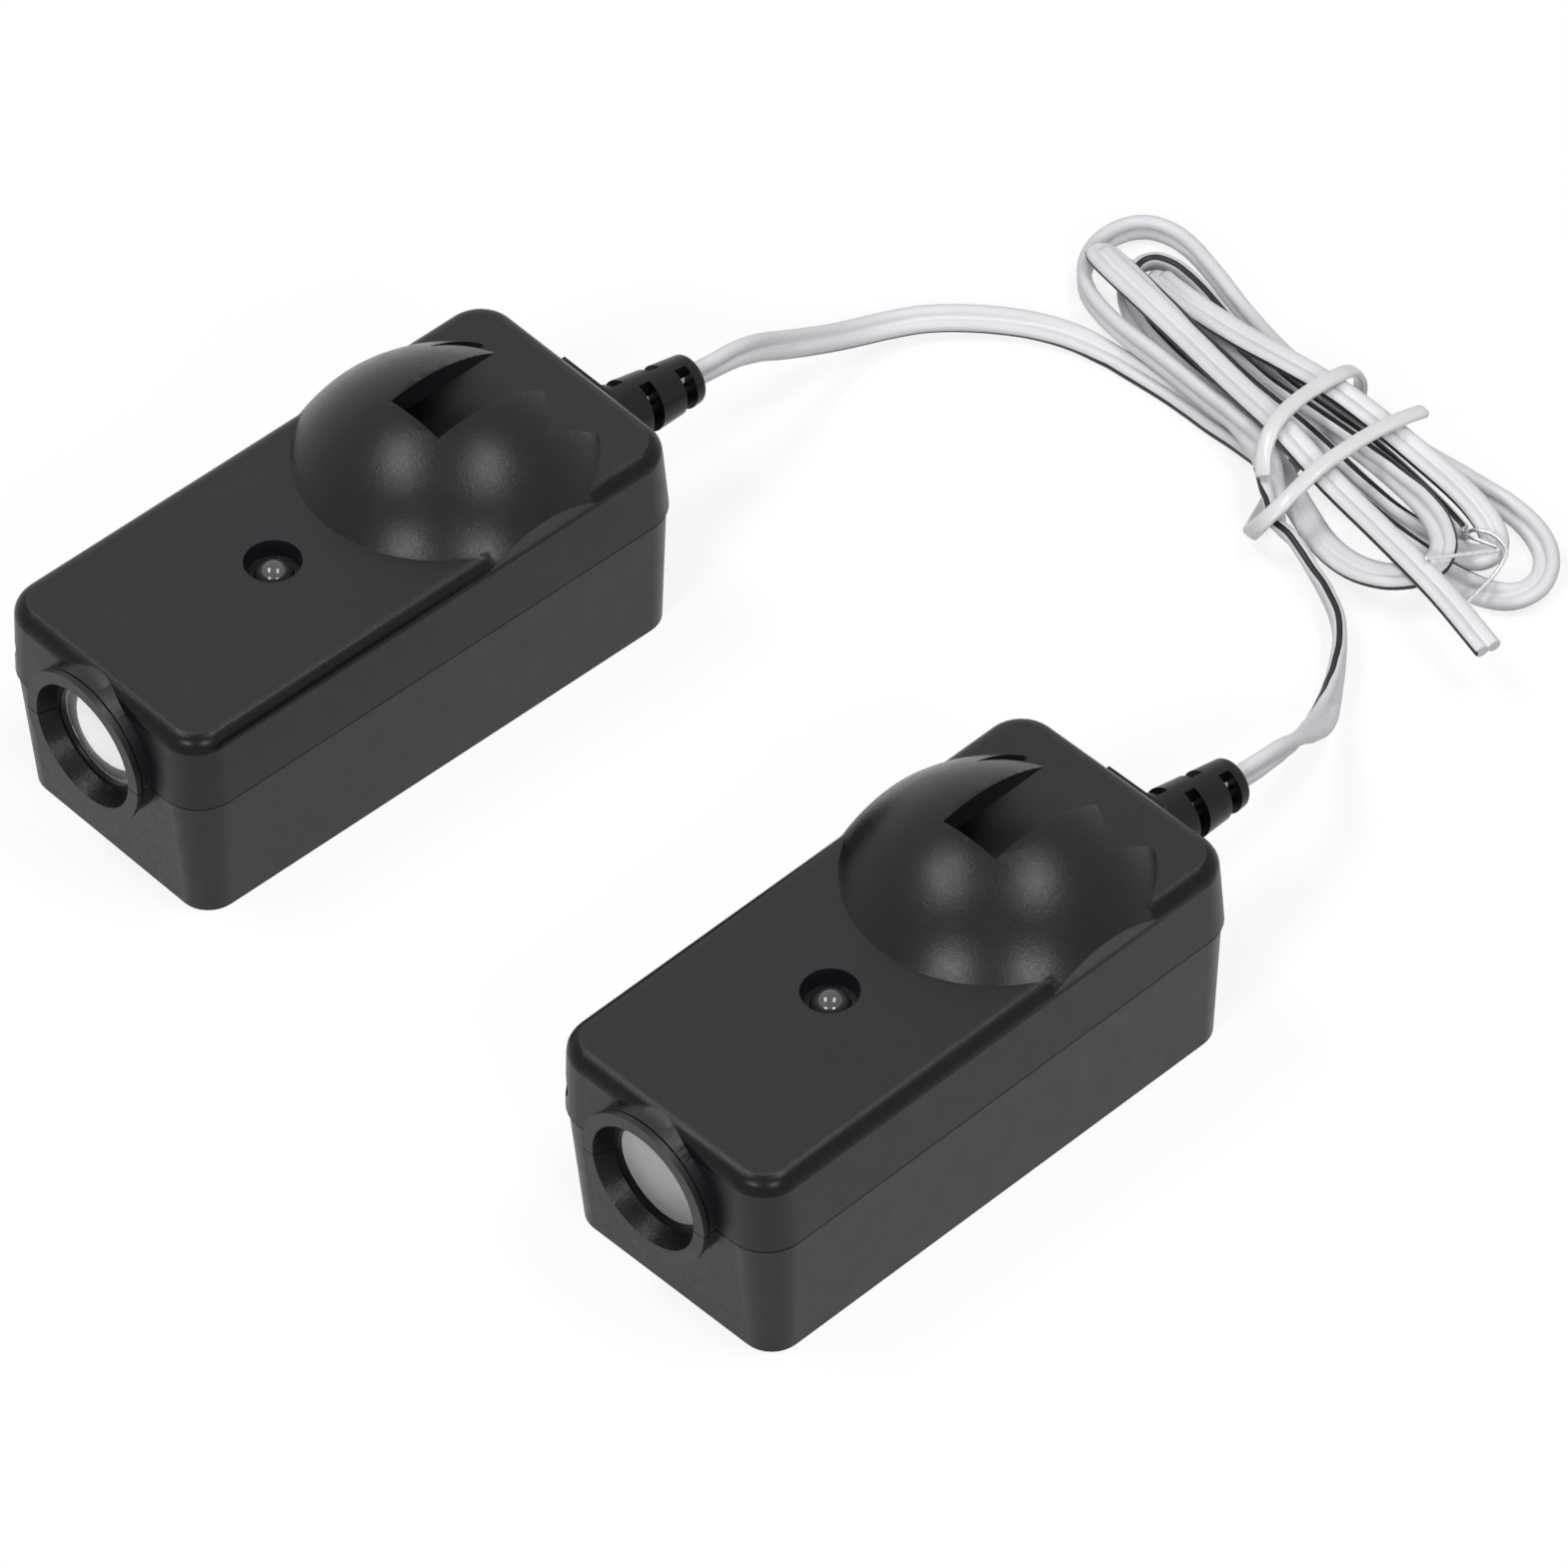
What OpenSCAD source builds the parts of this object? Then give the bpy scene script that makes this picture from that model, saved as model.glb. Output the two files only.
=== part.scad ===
// Safety photocell set for a gate or garage door: a sender and a receiver, each a two-shell
// housing with a domed bolt slot on top and a lens collar in front, on two-core bell wire
// that is gathered in one tied hank. Lens end towards -Y, cable end towards +Y, +Z up.

/* [Housing] */
// Length of a housing from the lens wall to the cable wall
body_l = 82; // [76:1:110]
// Width of a housing at the parting line
body_w = 39; // [37:0.5:60]
// Height of the flat top above the foot
body_h = 31.4; // [31:0.1:36]
// Depth of the parting line between shell and cover below the flat top
cover_h = 11.7; // [10.4:0.1:12.9]
// Radius of the upright corners at the parting line
corner_r = 5.73; // [5.2:0.05:9]
// How far the foot of the shell is drawn in on each side
foot_inset = 1.57; // [0.6:0.05:1.9]
// How far the wall of the cover is drawn in at its upper edge
cover_inset = 0.46; // [0.2:0.02:0.8]
// Radius round the upper edge of the cover
edge_r = 2.35; // [1.2:0.05:2.6]
// Thickness of the moulded walls
wall = 2; // [1.6:0.1:2.4]
// How far the cover overhangs the shell at the parting line
cover_lip = 0.33; // [0.1:0.01:0.5]
// Height of the tongue that the shell raises inside the cover
tongue_h = 1.5; // [1:0.1:2.5]
// Thickness of that tongue
tongue_t = 0.9; // [0.6:0.05:1.2]
// Clearance between moulded pieces that fit into each other
fit_gap = 0.1; // [0.05:0.01:0.2]

/* [Dome with bolt slot] */
// Radius of the dome's sphere
dome_r = 25.16; // [22:0.1:28]
// Height of the dome's crest above the flat top
dome_rise = 9.5; // [8:0.1:12]
// Distance of the dome's centre from the cable wall
dome_back = 23.26; // [21:0.1:26]
// Width of the slot for the bolt's neck
neck_slot_w = 9.2; // [7:0.1:11]
// Distance of that slot's front end from the dome's centre
neck_slot_front = 4.6; // [2:0.1:6]
// Width of the slot for the bolt's head
head_slot_w = 22.4; // [18:0.1:26]
// Height of the slot for the bolt's head
head_slot_h = 5.6; // [4.5:0.1:7]

/* [Lens collar] */
// Depth of the lens axis below the flat top
lens_down = 10.8; // [10.8:0.1:11.4]
// Radius of the front flange
flange_r = 10.8; // [10:0.1:11.5]
// How far the flange stands out of the lens wall
flange_out = 2.1; // [1.5:0.1:4]
// Thickness of the flange
flange_t = 0.8; // [0.5:0.1:1.2]
// Width of the groove behind the flange
groove_w = 0.35; // [0.2:0.05:0.6]
// Depth of the groove below the barrel
groove_d = 0.3; // [0.1:0.05:0.5]
// Radius of the barrel behind the groove
barrel_r = 10.6; // [10:0.1:11]
// How far the barrel reaches into the housing
barrel_in = 5; // [4.5:0.1:8]
// Radius of the mouth at the flange
mouth_r = 8.93; // [8.4:0.01:9.4]
// Radius at the foot of the mouth's cone
throat_r = 8; // [7.6:0.05:8.4]
// Radius of the opening in front of the lens
sight_r = 7.2; // [6.5:0.05:7.5]
// Depth of the step ring behind the lens wall's face
step_in = 0.5; // [0.2:0.05:0.8]
// Thickness of the step ring in front of the lens
step_t = 0.7; // [0.5:0.05:1]

/* [Lens] */
// Radius of the lens rim
lens_r = 8.4; // [8:0.05:8.6]
// Thickness of the lens rim
lens_rim_t = 1.6; // [1.2:0.05:2]
// Radius of the curved part of the lens
lens_bulge_r = 6.9; // [6:0.05:7.1]
// Rise of the sender's lens in front
sender_bulge = 1.7; // [1:0.05:2.4]
// Rise of the receiver's lens in front
receiver_bulge = 0.5; // [0.3:0.05:1]
// Rise of either lens behind
lens_back_bulge = 2.6; // [1.5:0.1:3]

/* [Indicator] */
// Distance of the indicator from the lens wall
led_back = 30.05; // [28:0.05:32]
// Radius of the recess at the flat top
led_recess_r = 3.8; // [3.4:0.05:4.2]
// Radius of the recess at its floor
led_recess_floor_r = 3.5; // [3:0.05:3.8]
// Depth of the recess
led_recess_d = 2.6; // [2:0.1:3.2]
// Wall of the boss round the recess
led_boss_wall = 1.5; // [1:0.1:2]
// Height of the boss below the recess
led_boss_h = 2; // [1.5:0.1:3]
// Radius of a 5 mm lamp's body
led_r = 2.5; // [1.5:0.05:2.6]
// Height of a lamp's cylindrical body above its flange
led_body_h = 5.4; // [4.6:0.1:6]
// Radius of a lamp's flange
led_flange_r = 2.9; // [2.7:0.05:3.1]
// Thickness of a lamp's flange
led_flange_t = 1; // [0.6:0.1:1.4]
// How far the tip of the indicator stays below the flat top
led_tip_down = 0.5; // [0.2:0.1:1]

/* [Catch window] */
// Radius of the round window in the cover's corner
window_r = 1.7; // [1.2:0.05:1.9]
// Height of the window above the parting line
window_up = 3.5; // [3.3:0.1:4.8]

/* [Strain relief] */
// Depth of its axis at the cable wall below the parting line
relief_down = 0.6; // [0:0.1:1.2]
// How much it droops
relief_droop = 7; // [3:0.5:10]
// Length of the tapered tail outside the wall
relief_l = 17.6; // [15:0.1:24]
// Radius of the tail at the wall
relief_r = 4.87; // [4.4:0.05:5.2]
// Radius of the tail at its free end
relief_end_r = 3.5; // [3.2:0.05:4]
// Rounding of the free end
relief_round = 0.7; // [0.3:0.1:1]
// Width of each flex slot
flex_slot_w = 1.9; // [1.4:0.1:2.2]
// Distance between neighbouring flex slots of one side
flex_slot_pitch = 6.15; // [5:0.05:6.6]
// Distance of the first flex slot from the wall
flex_slot_first = 5.6; // [5:0.1:7]
// Distance of the flex slots' floor from the middle
flex_slot_floor = 0.8; // [0.6:0.05:0.9]
// Width of the plate outside the cable wall
plate_w = 10; // [9.8:0.1:14]
// Height of that plate
plate_h = 18.4; // [14:0.1:20]
// Thickness of that plate
plate_t = 0.9; // [0.6:0.1:1.4]
// Radius of the neck in the wall
relief_neck_r = 4.2; // [3.8:0.05:4.5]
// Radius of the flange inside the wall
relief_flange_r = 6; // [5.4:0.1:7]
// Thickness of the flange inside the wall
relief_flange_t = 1.6; // [1.2:0.1:2.4]

/* [Circuit board] */
// Depth of the board's underside below the lens axis
board_down = 8; // [7.5:0.1:8.6]
// Thickness of the board
board_t = 1.6; // [1:0.1:1.8]
// Distance of the board's rear edge from the cable wall's face
board_rear = 16; // [12:0.5:18]
// Distance of the board's long edges from the side walls' faces
board_side = 4.5; // [4:0.1:5.5]
// Distance of the board's front edge from the lens wall's face
board_front = 8; // [7:0.1:9]
// Distance of the posts from the board's long edges
post_in = 3.4; // [3:0.1:5]
// Distance of the posts from the board's ends
post_end = 4; // [3.4:0.1:6]
// Radius of the board posts
post_r = 2.4; // [2:0.1:2.8]
// Radius of the pin on each post
post_pin_r = 1; // [0.7:0.05:1.2]
// How far the pins stand above the board
post_pin_out = 1; // [0.5:0.1:2]

/* [Board parts] */
// Distance of the optical diode's tip from the lens wall's face
diode_back = 12; // [11.5:0.1:13]
// Spacing of a lamp's two legs
leg_pitch = 2.54; // [2:0.02:2.8]
// Width of a lamp's square legs
leg_w = 0.5; // [0.4:0.02:0.6]
// Side wall of the emitter's holder
holder_wall = 1.6; // [1:0.1:2]
// Length of the emitter's holder
holder_l = 5; // [4:0.1:5.2]
// Thickness of the detector's metal shield
shield_t = 0.4; // [0.3:0.05:0.6]
// Width of the detector's metal shield
shield_w = 10; // [8:0.1:12]
// Height of the detector's metal shield above the board
shield_h = 10.6; // [10:0.1:12]
// Length of the detector's metal shield
shield_l = 13; // [12:0.1:14]
// Radius of the window in the shield
shield_window_r = 2.8; // [2.6:0.1:3.2]
// Length of the control chip's body
chip_l = 8.7; // [6:0.1:10]
// Width of the control chip's body
chip_w = 3.9; // [3:0.1:6]
// Height of the control chip's body
chip_h = 1.4; // [1:0.1:2]
// Spacing of the control chip's legs
chip_pitch = 1.27; // [1:0.01:1.3]
// Width of a chip leg
chip_leg_w = 0.42; // [0.3:0.02:0.5]
// How far the chip legs reach beside the body
chip_leg_out = 1; // [0.6:0.1:1.4]
// Thickness of the chip legs
chip_leg_t = 0.25; // [0.2:0.01:0.3]
// Radius of the capacitor's can
cap_r = 3.15; // [2.5:0.05:3.5]
// Height of the capacitor's can
cap_h = 7; // [5:0.1:8]
// Radius of the transistor's case
transistor_r = 2.3; // [2:0.05:2.5]
// Height of the transistor's case
transistor_h = 4.6; // [4:0.1:5]
// How far the transistor stands above the board
transistor_lift = 1.6; // [1:0.1:3]
// Radius of a resistor's body
resistor_r = 1.15; // [0.8:0.05:1.3]
// Length of a resistor's body
resistor_l = 6.2; // [5:0.1:7]
// Distance between a resistor's two bent wires
resistor_span = 10.2; // [9:0.1:12]
// Distance between neighbouring resistors
resistor_pitch = 3.6; // [3:0.1:5]
// Clearance between the last resistor and the cores behind it
resistor_gap = 1; // [0.5:0.1:2]
// Radius of the tinned legs of small parts
tin_r = 0.3; // [0.25:0.01:0.35]

/* [Bell wire] */
// Diameter of one insulated core of the two-core wire
core_d = 1.9; // [1.7:0.02:2]
// Distance between the two housings' centres
pair_pitch = 103.1; // [95:0.1:130]
// How far the sender stands back from the receiver
sender_back = 2.38; // [0:0.02:6]
// How far the sender is turned
sender_yaw = -2.245; // [-4:0.005:0]
// Diameter of a bare tinned conductor
strand_d = 0.56; // [0.5:0.02:0.8]
// Width of the tie strip round the hank
tie_w = 2.3; // [1.8:0.1:3]
// Thickness of the tie strip
tie_t = 1.1; // [0.8:0.05:1.4]

/* [Hidden] */

// Facets: true curves are smooth, hulls of shells take 32 round a corner
$fn = 64;
hull_fn = 32;
edge_steps = 5;
// One overrun serves all cuts
overrun = 1;

// Places that follow from the sizes above
split_z = body_h - cover_h;
lens_z = body_h - lens_down;
window_z = split_z + window_up;
relief_z = split_z - relief_down;
board_z = lens_z - board_down;
board_l = body_l - board_front - board_rear;
board_w = body_w - 2 * board_side;
dome_y = body_l / 2 - dome_back;
dome_z = body_h + dome_rise - dome_r;
led_y = led_back - body_l / 2;
board_top = board_z + board_t;
board_y0 = board_front - body_l / 2;
pocket_r = lens_r + fit_gap;
lens_seat = step_in + step_t;
lens_slot_t = lens_rim_t + fit_gap;
core_r = core_d / 2;
core_mid = core_r + fit_gap / 4;
relief_tip_y = body_l / 2 + relief_l * cos(relief_droop);
relief_tip_z = relief_z - relief_l * sin(relief_droop);
post_x = board_w / 2 - post_in;
post_ys = [board_y0 + post_end, board_y0 + board_l - post_end];
diode_y = diode_back - body_l / 2;

// The pair is centred on the box that both housings fill
yaw_reach = (body_w / 2 - corner_r) * cos(sender_yaw) + (body_l / 2 - corner_r) * abs(sin(sender_yaw)) + corner_r;
pair_x0 = (body_w / 2 - pair_pitch - yaw_reach) / 2;
pair_y0 = (sender_back + relief_tip_y - body_l / 2 - flange_out) / 2;
receiver_at = [-pair_x0, -pair_y0, 0];
sender_at = [-pair_x0 - pair_pitch, sender_back - pair_y0, 0];

// Small shared shapes

module rounded_outline(inset) {
    cx = body_w / 2 - corner_r;
    cy = body_l / 2 - corner_r;
    square([body_w - 2 * inset, 2 * cy], center = true);
    square([2 * cx, body_l - 2 * inset], center = true);
    for (sx = [-1, 1], sy = [-1, 1])
        translate([sx * cx, sy * cy]) circle(r = corner_r - inset);
}

module at_corners() {
    for (sx = [-1, 1], sy = [-1, 1])
        translate([sx * (body_w / 2 - corner_r), sy * (body_l / 2 - corner_r), 0]) children();
}

// A shell solid: the hull of one turned profile at each corner
module corner_hull(profile) {
    hull() at_corners() rotate_extrude($fn = hull_fn) polygon(profile);
}

// Local axis out of the lens wall, then out of the cable wall
module at_lens() {
    translate([0, -body_l / 2, lens_z]) rotate([90, 0, 0]) children();
}

module at_relief(droop) {
    translate([0, body_l / 2, relief_z]) rotate([-90 - droop, 0, 0]) children();
}

// Round wire through a few points, with a ball at each bend
module wire(points, r) {
    for (i = [0 : len(points) - 2]) {
        run = points[i + 1] - points[i];
        flat = norm([run.x, run.y]);
        translate(points[i])
            rotate([0, atan2(flat, run.z), atan2(run.y, run.x)])
            cylinder(h = norm(run), r = r, $fn = 24);
        if (i > 0) translate(points[i]) sphere(r = r, $fn = 24);
    }
}

// Housing

module shell_outside() {
    corner_hull([
        [0, 0], [corner_r - foot_inset, 0],
        [corner_r - cover_lip, split_z], [0, split_z]
    ]);
}

module shell_inside() {
    corner_hull([
        [0, wall], [corner_r - foot_inset - wall, wall],
        [corner_r - cover_lip - wall, split_z], [corner_r - cover_lip - wall, split_z + overrun],
        [0, split_z + overrun]
    ]);
}

module cover_outside() {
    edge_x = corner_r - cover_inset - edge_r;
    edge_z = body_h - edge_r;
    corner_hull(concat(
        [[0, split_z], [corner_r, split_z]],
        [for (i = [0 : edge_steps]) let (a = 90 * i / edge_steps)
            [edge_x + edge_r * cos(a), edge_z + edge_r * sin(a)]],
        [[0, body_h]]
    ));
}

module cover_inside() {
    corner_hull([
        [0, split_z - overrun], [corner_r - wall, split_z - overrun], [corner_r - wall, split_z],
        [corner_r - wall - cover_inset, body_h - wall], [0, body_h - wall]
    ]);
}

// Ring of the lens collar, whole: each shell carries its half
module collar_ring() {
    groove_z = flange_out - flange_t;
    at_lens() rotate_extrude() polygon([
        [sight_r, -barrel_in], [barrel_r, -barrel_in],
        [barrel_r, groove_z - groove_w], [barrel_r - groove_d, groove_z - groove_w],
        [barrel_r - groove_d, groove_z], [flange_r, groove_z], [flange_r, flange_out],
        [mouth_r, flange_out], [throat_r, -step_in], [sight_r, -step_in],
        [sight_r, -lens_seat], [pocket_r, -lens_seat],
        [pocket_r, -lens_seat - lens_slot_t], [sight_r, -lens_seat - lens_slot_t]
    ]);
}

// Room for the collar in the front wall, less than the barrel so that the two fuse
module collar_room() {
    at_lens() translate([0, 0, -barrel_in])
        cylinder(h = barrel_in + overrun, r = (pocket_r + barrel_r) / 2);
}

module relief_room() {
    translate([0, body_l / 2 + overrun, relief_z]) rotate([90, 0, 0])
        cylinder(h = 2 * wall + 2 * overrun, r = relief_neck_r + fit_gap);
}

module above_split() {
    translate([-body_w, -body_l, split_z]) cube([2 * body_w, 2 * body_l, body_h]);
}

module below_split() {
    translate([-body_w, -body_l, split_z - body_h]) cube([2 * body_w, 2 * body_l, body_h]);
}

// Dome, trimmed in line with the cover's side walls, with the slots for a carriage bolt
module dome() {
    flank = cover_inset + fit_gap;
    difference() {
        intersection() {
            translate([0, dome_y, dome_z]) sphere(r = dome_r, $fn = 96);
            translate([0, 0, body_h - edge_r])
                linear_extrude(dome_rise + edge_r + overrun) rounded_outline(flank);
        }
        translate([-neck_slot_w / 2, dome_y - neck_slot_front, body_h])
            cube([neck_slot_w, body_l, dome_rise + overrun]);
        translate([0, dome_y, body_h]) cylinder(h = head_slot_h, r = head_slot_w / 2);
        translate([-head_slot_w / 2, dome_y, body_h]) cube([head_slot_w, body_l, head_slot_h]);
    }
}

// Window of the snap catch, through the corner left of the lens
module window_cut() {
    translate([corner_r - body_w / 2, corner_r - body_l / 2, window_z])
        rotate([90, 0, -45]) cylinder(h = corner_r + overrun, r = window_r);
}

module tongue() {
    difference() {
        translate([0, 0, split_z - wall]) linear_extrude(wall + tongue_h) difference() {
            rounded_outline(cover_lip + wall - tongue_t);
            rounded_outline(cover_lip + wall);
        }
        at_lens() translate([0, 0, -barrel_in - overrun])
            cylinder(h = barrel_in + 2 * overrun, r = barrel_r + fit_gap);
        translate([-relief_flange_r - fit_gap, 0, split_z])
            cube([2 * (relief_flange_r + fit_gap), body_l, tongue_h + overrun]);
    }
}

module tongue_room() {
    translate([0, 0, split_z - overrun]) linear_extrude(overrun + tongue_h + fit_gap)
        rounded_outline(cover_lip + wall - tongue_t - fit_gap);
}

module board_posts() {
    for (sx = [-1, 1], y = post_ys) translate([sx * post_x, y, 0]) {
        translate([0, 0, wall / 2]) cylinder(h = board_z - wall / 2, r = post_r);
        translate([0, 0, board_z]) cylinder(h = board_t + post_pin_out, r = post_pin_r);
    }
}

// Prong of the shell that springs into the cover's corner window
module catch_prong() {
    prong_w = 2 * (window_r - fit_gap);
    inner_r = corner_r - cover_lip - wall;
    translate([corner_r - body_w / 2, corner_r - body_l / 2, 0]) rotate([0, 0, -135]) {
        translate([inner_r - fit_gap - tongue_t, -prong_w / 2, split_z - wall])
            cube([tongue_t, prong_w, window_z + window_r - split_z + wall]);
        translate([inner_r - tongue_t, -prong_w / 2, split_z - wall])
            cube([1.5 * tongue_t, prong_w, wall + tongue_h / 2]);
        translate([inner_r - tongue_t, 0, window_z]) rotate([0, 90, 0])
            cylinder(h = wall + tongue_t / 2, r = window_r - fit_gap);
    }
}

module top_cover() {
    color([0.075, 0.075, 0.08]) difference() {
        union() {
            difference() {
                union() {
                    cover_outside();
                    dome();
                }
                cover_inside();
                tongue_room();
                collar_room();
            }
            intersection() {
                collar_ring();
                above_split();
            }
            translate([0, led_y, body_h - led_recess_d - led_boss_h])
                cylinder(h = led_recess_d + led_boss_h - wall / 2, r = led_recess_r + led_boss_wall);
        }
        relief_room();
        window_cut();
        translate([0, led_y, body_h - led_recess_d]) cylinder(
            h = led_recess_d + fit_gap, r1 = led_recess_floor_r, r2 = led_recess_r);
        translate([0, led_y, body_h]) cylinder(h = dome_rise + overrun, r = led_recess_r);
        translate([0, led_y, split_z]) cylinder(h = body_h, r = led_r + fit_gap);
    }
}

module bottom_shell() {
    color([0.08, 0.08, 0.085]) difference() {
        union() {
            difference() {
                shell_outside();
                shell_inside();
                collar_room();
            }
            tongue();
            intersection() {
                collar_ring();
                below_split();
            }
            board_posts();
            catch_prong();
        }
        relief_room();
    }
}

module lens(bulge) {
    color([0.85, 0.87, 0.9, 0.5]) at_lens() {
        ball_r = (lens_bulge_r * lens_bulge_r + bulge * bulge) / (2 * bulge);
        back_r = (lens_bulge_r * lens_bulge_r + lens_back_bulge * lens_back_bulge) / (2 * lens_back_bulge);
        translate([0, 0, -lens_seat - lens_rim_t]) cylinder(h = lens_rim_t, r = lens_r);
        intersection() {
            translate([0, 0, bulge - lens_seat - ball_r]) sphere(r = ball_r, $fn = 96);
            translate([0, 0, -lens_seat - lens_rim_t / 2])
                cylinder(h = bulge + lens_rim_t, r = lens_bulge_r);
        }
        intersection() {
            translate([0, 0, back_r - lens_seat - lens_rim_t - lens_back_bulge])
                sphere(r = back_r, $fn = 96);
            translate([0, 0, -lens_seat - lens_rim_t - lens_back_bulge])
                cylinder(h = lens_back_bulge + lens_rim_t / 2, r = lens_bulge_r);
        }
    }
}

// A 5 mm lamp: tip at the origin, looking along +Z
module lamp_body() {
    translate([0, 0, -led_r]) sphere(r = led_r);
    translate([0, 0, -led_r - led_body_h]) cylinder(h = led_body_h, r = led_r);
    translate([0, 0, -led_r - led_body_h - led_flange_t]) cylinder(h = led_flange_t, r = led_flange_r);
}

module indicator_lamp() {
    tip_z = body_h - led_tip_down;
    foot_z = tip_z - led_r - led_body_h - led_flange_t;
    color([0.8, 0.85, 0.8, 0.6]) translate([0, led_y, tip_z]) lamp_body();
    color("silver") for (sx = [-1, 1])
        translate([sx * leg_pitch / 2 - leg_w / 2, led_y - leg_w / 2, board_top])
            cube([leg_w, leg_w, foot_z - board_top + led_flange_t / 2]);
}

// The optical diode lies on the lens axis, its legs bent down to the board
module optical_diode(tone) {
    back_y = diode_y + led_r + led_body_h + led_flange_t;
    color(tone) translate([0, diode_y, lens_z]) rotate([90, 0, 0]) lamp_body();
    color("silver") for (sx = [-1, 1]) wire([
        [sx * leg_pitch / 2, back_y - led_flange_t / 2, lens_z],
        [sx * leg_pitch / 2, back_y + leg_w + tin_r, lens_z],
        [sx * leg_pitch / 2, back_y + leg_w + tin_r, board_top]
    ], tin_r);
}

// Saddle that carries the emitter on the lens axis
module diode_holder() {
    holder_w = 2 * (led_r + holder_wall);
    y0 = diode_y + led_r + led_body_h - holder_l;
    color([0.1, 0.1, 0.1]) difference() {
        translate([-holder_w / 2, y0 - fit_gap, board_top])
            cube([holder_w, holder_l, lens_z + led_r + holder_wall - board_top]);
        translate([0, y0 + holder_l + overrun, lens_z]) rotate([90, 0, 0])
            cylinder(h = holder_l + 2 * overrun, r = led_r + fit_gap / 2);
    }
}

// Folded tin can round the detector, open below, with a window towards the lens
module detector_shield() {
    y0 = diode_y - shield_t - fit_gap;
    color([0.75, 0.76, 0.78]) difference() {
        translate([-shield_w / 2, y0, board_top]) cube([shield_w, shield_l, shield_h]);
        translate([shield_t - shield_w / 2, y0 + shield_t, board_top - overrun])
            cube([shield_w - 2 * shield_t, shield_l - 2 * shield_t, shield_h - shield_t + overrun]);
        translate([0, y0 + shield_t + overrun, lens_z]) rotate([90, 0, 0])
            cylinder(h = shield_t + 2 * overrun, r = shield_window_r);
    }
}

module circuit_board() {
    color([0.05, 0.35, 0.2]) difference() {
        translate([-board_w / 2, board_y0, board_z]) cube([board_w, board_l, board_t]);
        for (sx = [-1, 1], y = post_ys) translate([sx * post_x, y, board_z - overrun])
            cylinder(h = board_t + 2 * overrun, r = post_pin_r + fit_gap);
    }
}

// Board parts behind the optics, set out from the indicator's legs
chip_y = led_y + led_flange_r + chip_l / 2 + chip_leg_out;
chip_leg_count = 7;
chip_stand = chip_leg_t;
module control_chip() {
    color([0.06, 0.06, 0.06]) translate([-chip_w / 2, chip_y - chip_l / 2, board_top + chip_stand])
        cube([chip_w, chip_l, chip_h]);
    color("silver") for (sx = [-1, 1], i = [0 : chip_leg_count - 1]) {
        y = chip_y + (i - (chip_leg_count - 1) / 2) * chip_pitch - chip_leg_w / 2;
        translate([sx * (chip_w + chip_leg_out) / 2 - chip_leg_out / 2, y, board_top])
            cube([chip_leg_out, chip_leg_w, chip_leg_t]);
        translate([sx * (chip_w + chip_leg_t) / 2 - chip_leg_t / 2, y, board_top])
            cube([chip_leg_t, chip_leg_w, chip_h]);
    }
}

cap_x = chip_w / 2 + chip_leg_out + cap_r + leg_w;
module capacitor() {
    bead_r = cap_r / 8;
    color([0.12, 0.14, 0.3]) translate([-cap_x, chip_y, board_top]) difference() {
        cylinder(h = cap_h, r = cap_r);
        translate([0, 0, 4 * bead_r]) rotate_extrude() translate([cap_r, 0]) circle(r = bead_r);
        translate([0, 0, cap_h - bead_r]) cylinder(h = overrun, r = cap_r - 2 * bead_r);
    }
}

module transistor() {
    x = chip_w / 2 + chip_leg_out + transistor_r + leg_w;
    color([0.07, 0.07, 0.07]) translate([x, chip_y, board_top + transistor_lift]) difference() {
        cylinder(h = transistor_h, r = transistor_r);
        translate([-transistor_r, transistor_r * 0.6, -overrun])
            cube([2 * transistor_r, transistor_r, transistor_h + 2 * overrun]);
    }
    color("silver") for (i = [-1, 0, 1])
        translate([x + i * chip_pitch - leg_w / 2, chip_y - leg_w / 2, board_top])
            cube([leg_w, leg_w, transistor_lift + transistor_h / 4]);
}

resistor_y0 = chip_y + chip_l / 2 + resistor_r + chip_leg_out;
resistor_room = board_y0 + board_l - post_end - core_r - resistor_gap - resistor_r - resistor_y0;
resistor_count = max(1, 1 + floor(resistor_room / resistor_pitch));
module resistors() {
    for (i = [0 : resistor_count - 1]) translate([0, resistor_y0 + i * resistor_pitch, 0]) {
        color([0.82, 0.72, 0.52]) translate([-resistor_l / 2, 0, board_top + resistor_r])
            rotate([0, 90, 0]) cylinder(h = resistor_l, r = resistor_r);
        color("silver") for (sx = [-1, 1]) wire([
            [sx * (resistor_l / 2 - tin_r), 0, board_top + resistor_r],
            [sx * resistor_span / 2, 0, board_top + resistor_r],
            [sx * resistor_span / 2, 0, board_top]
        ], tin_r);
    }
}

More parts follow.
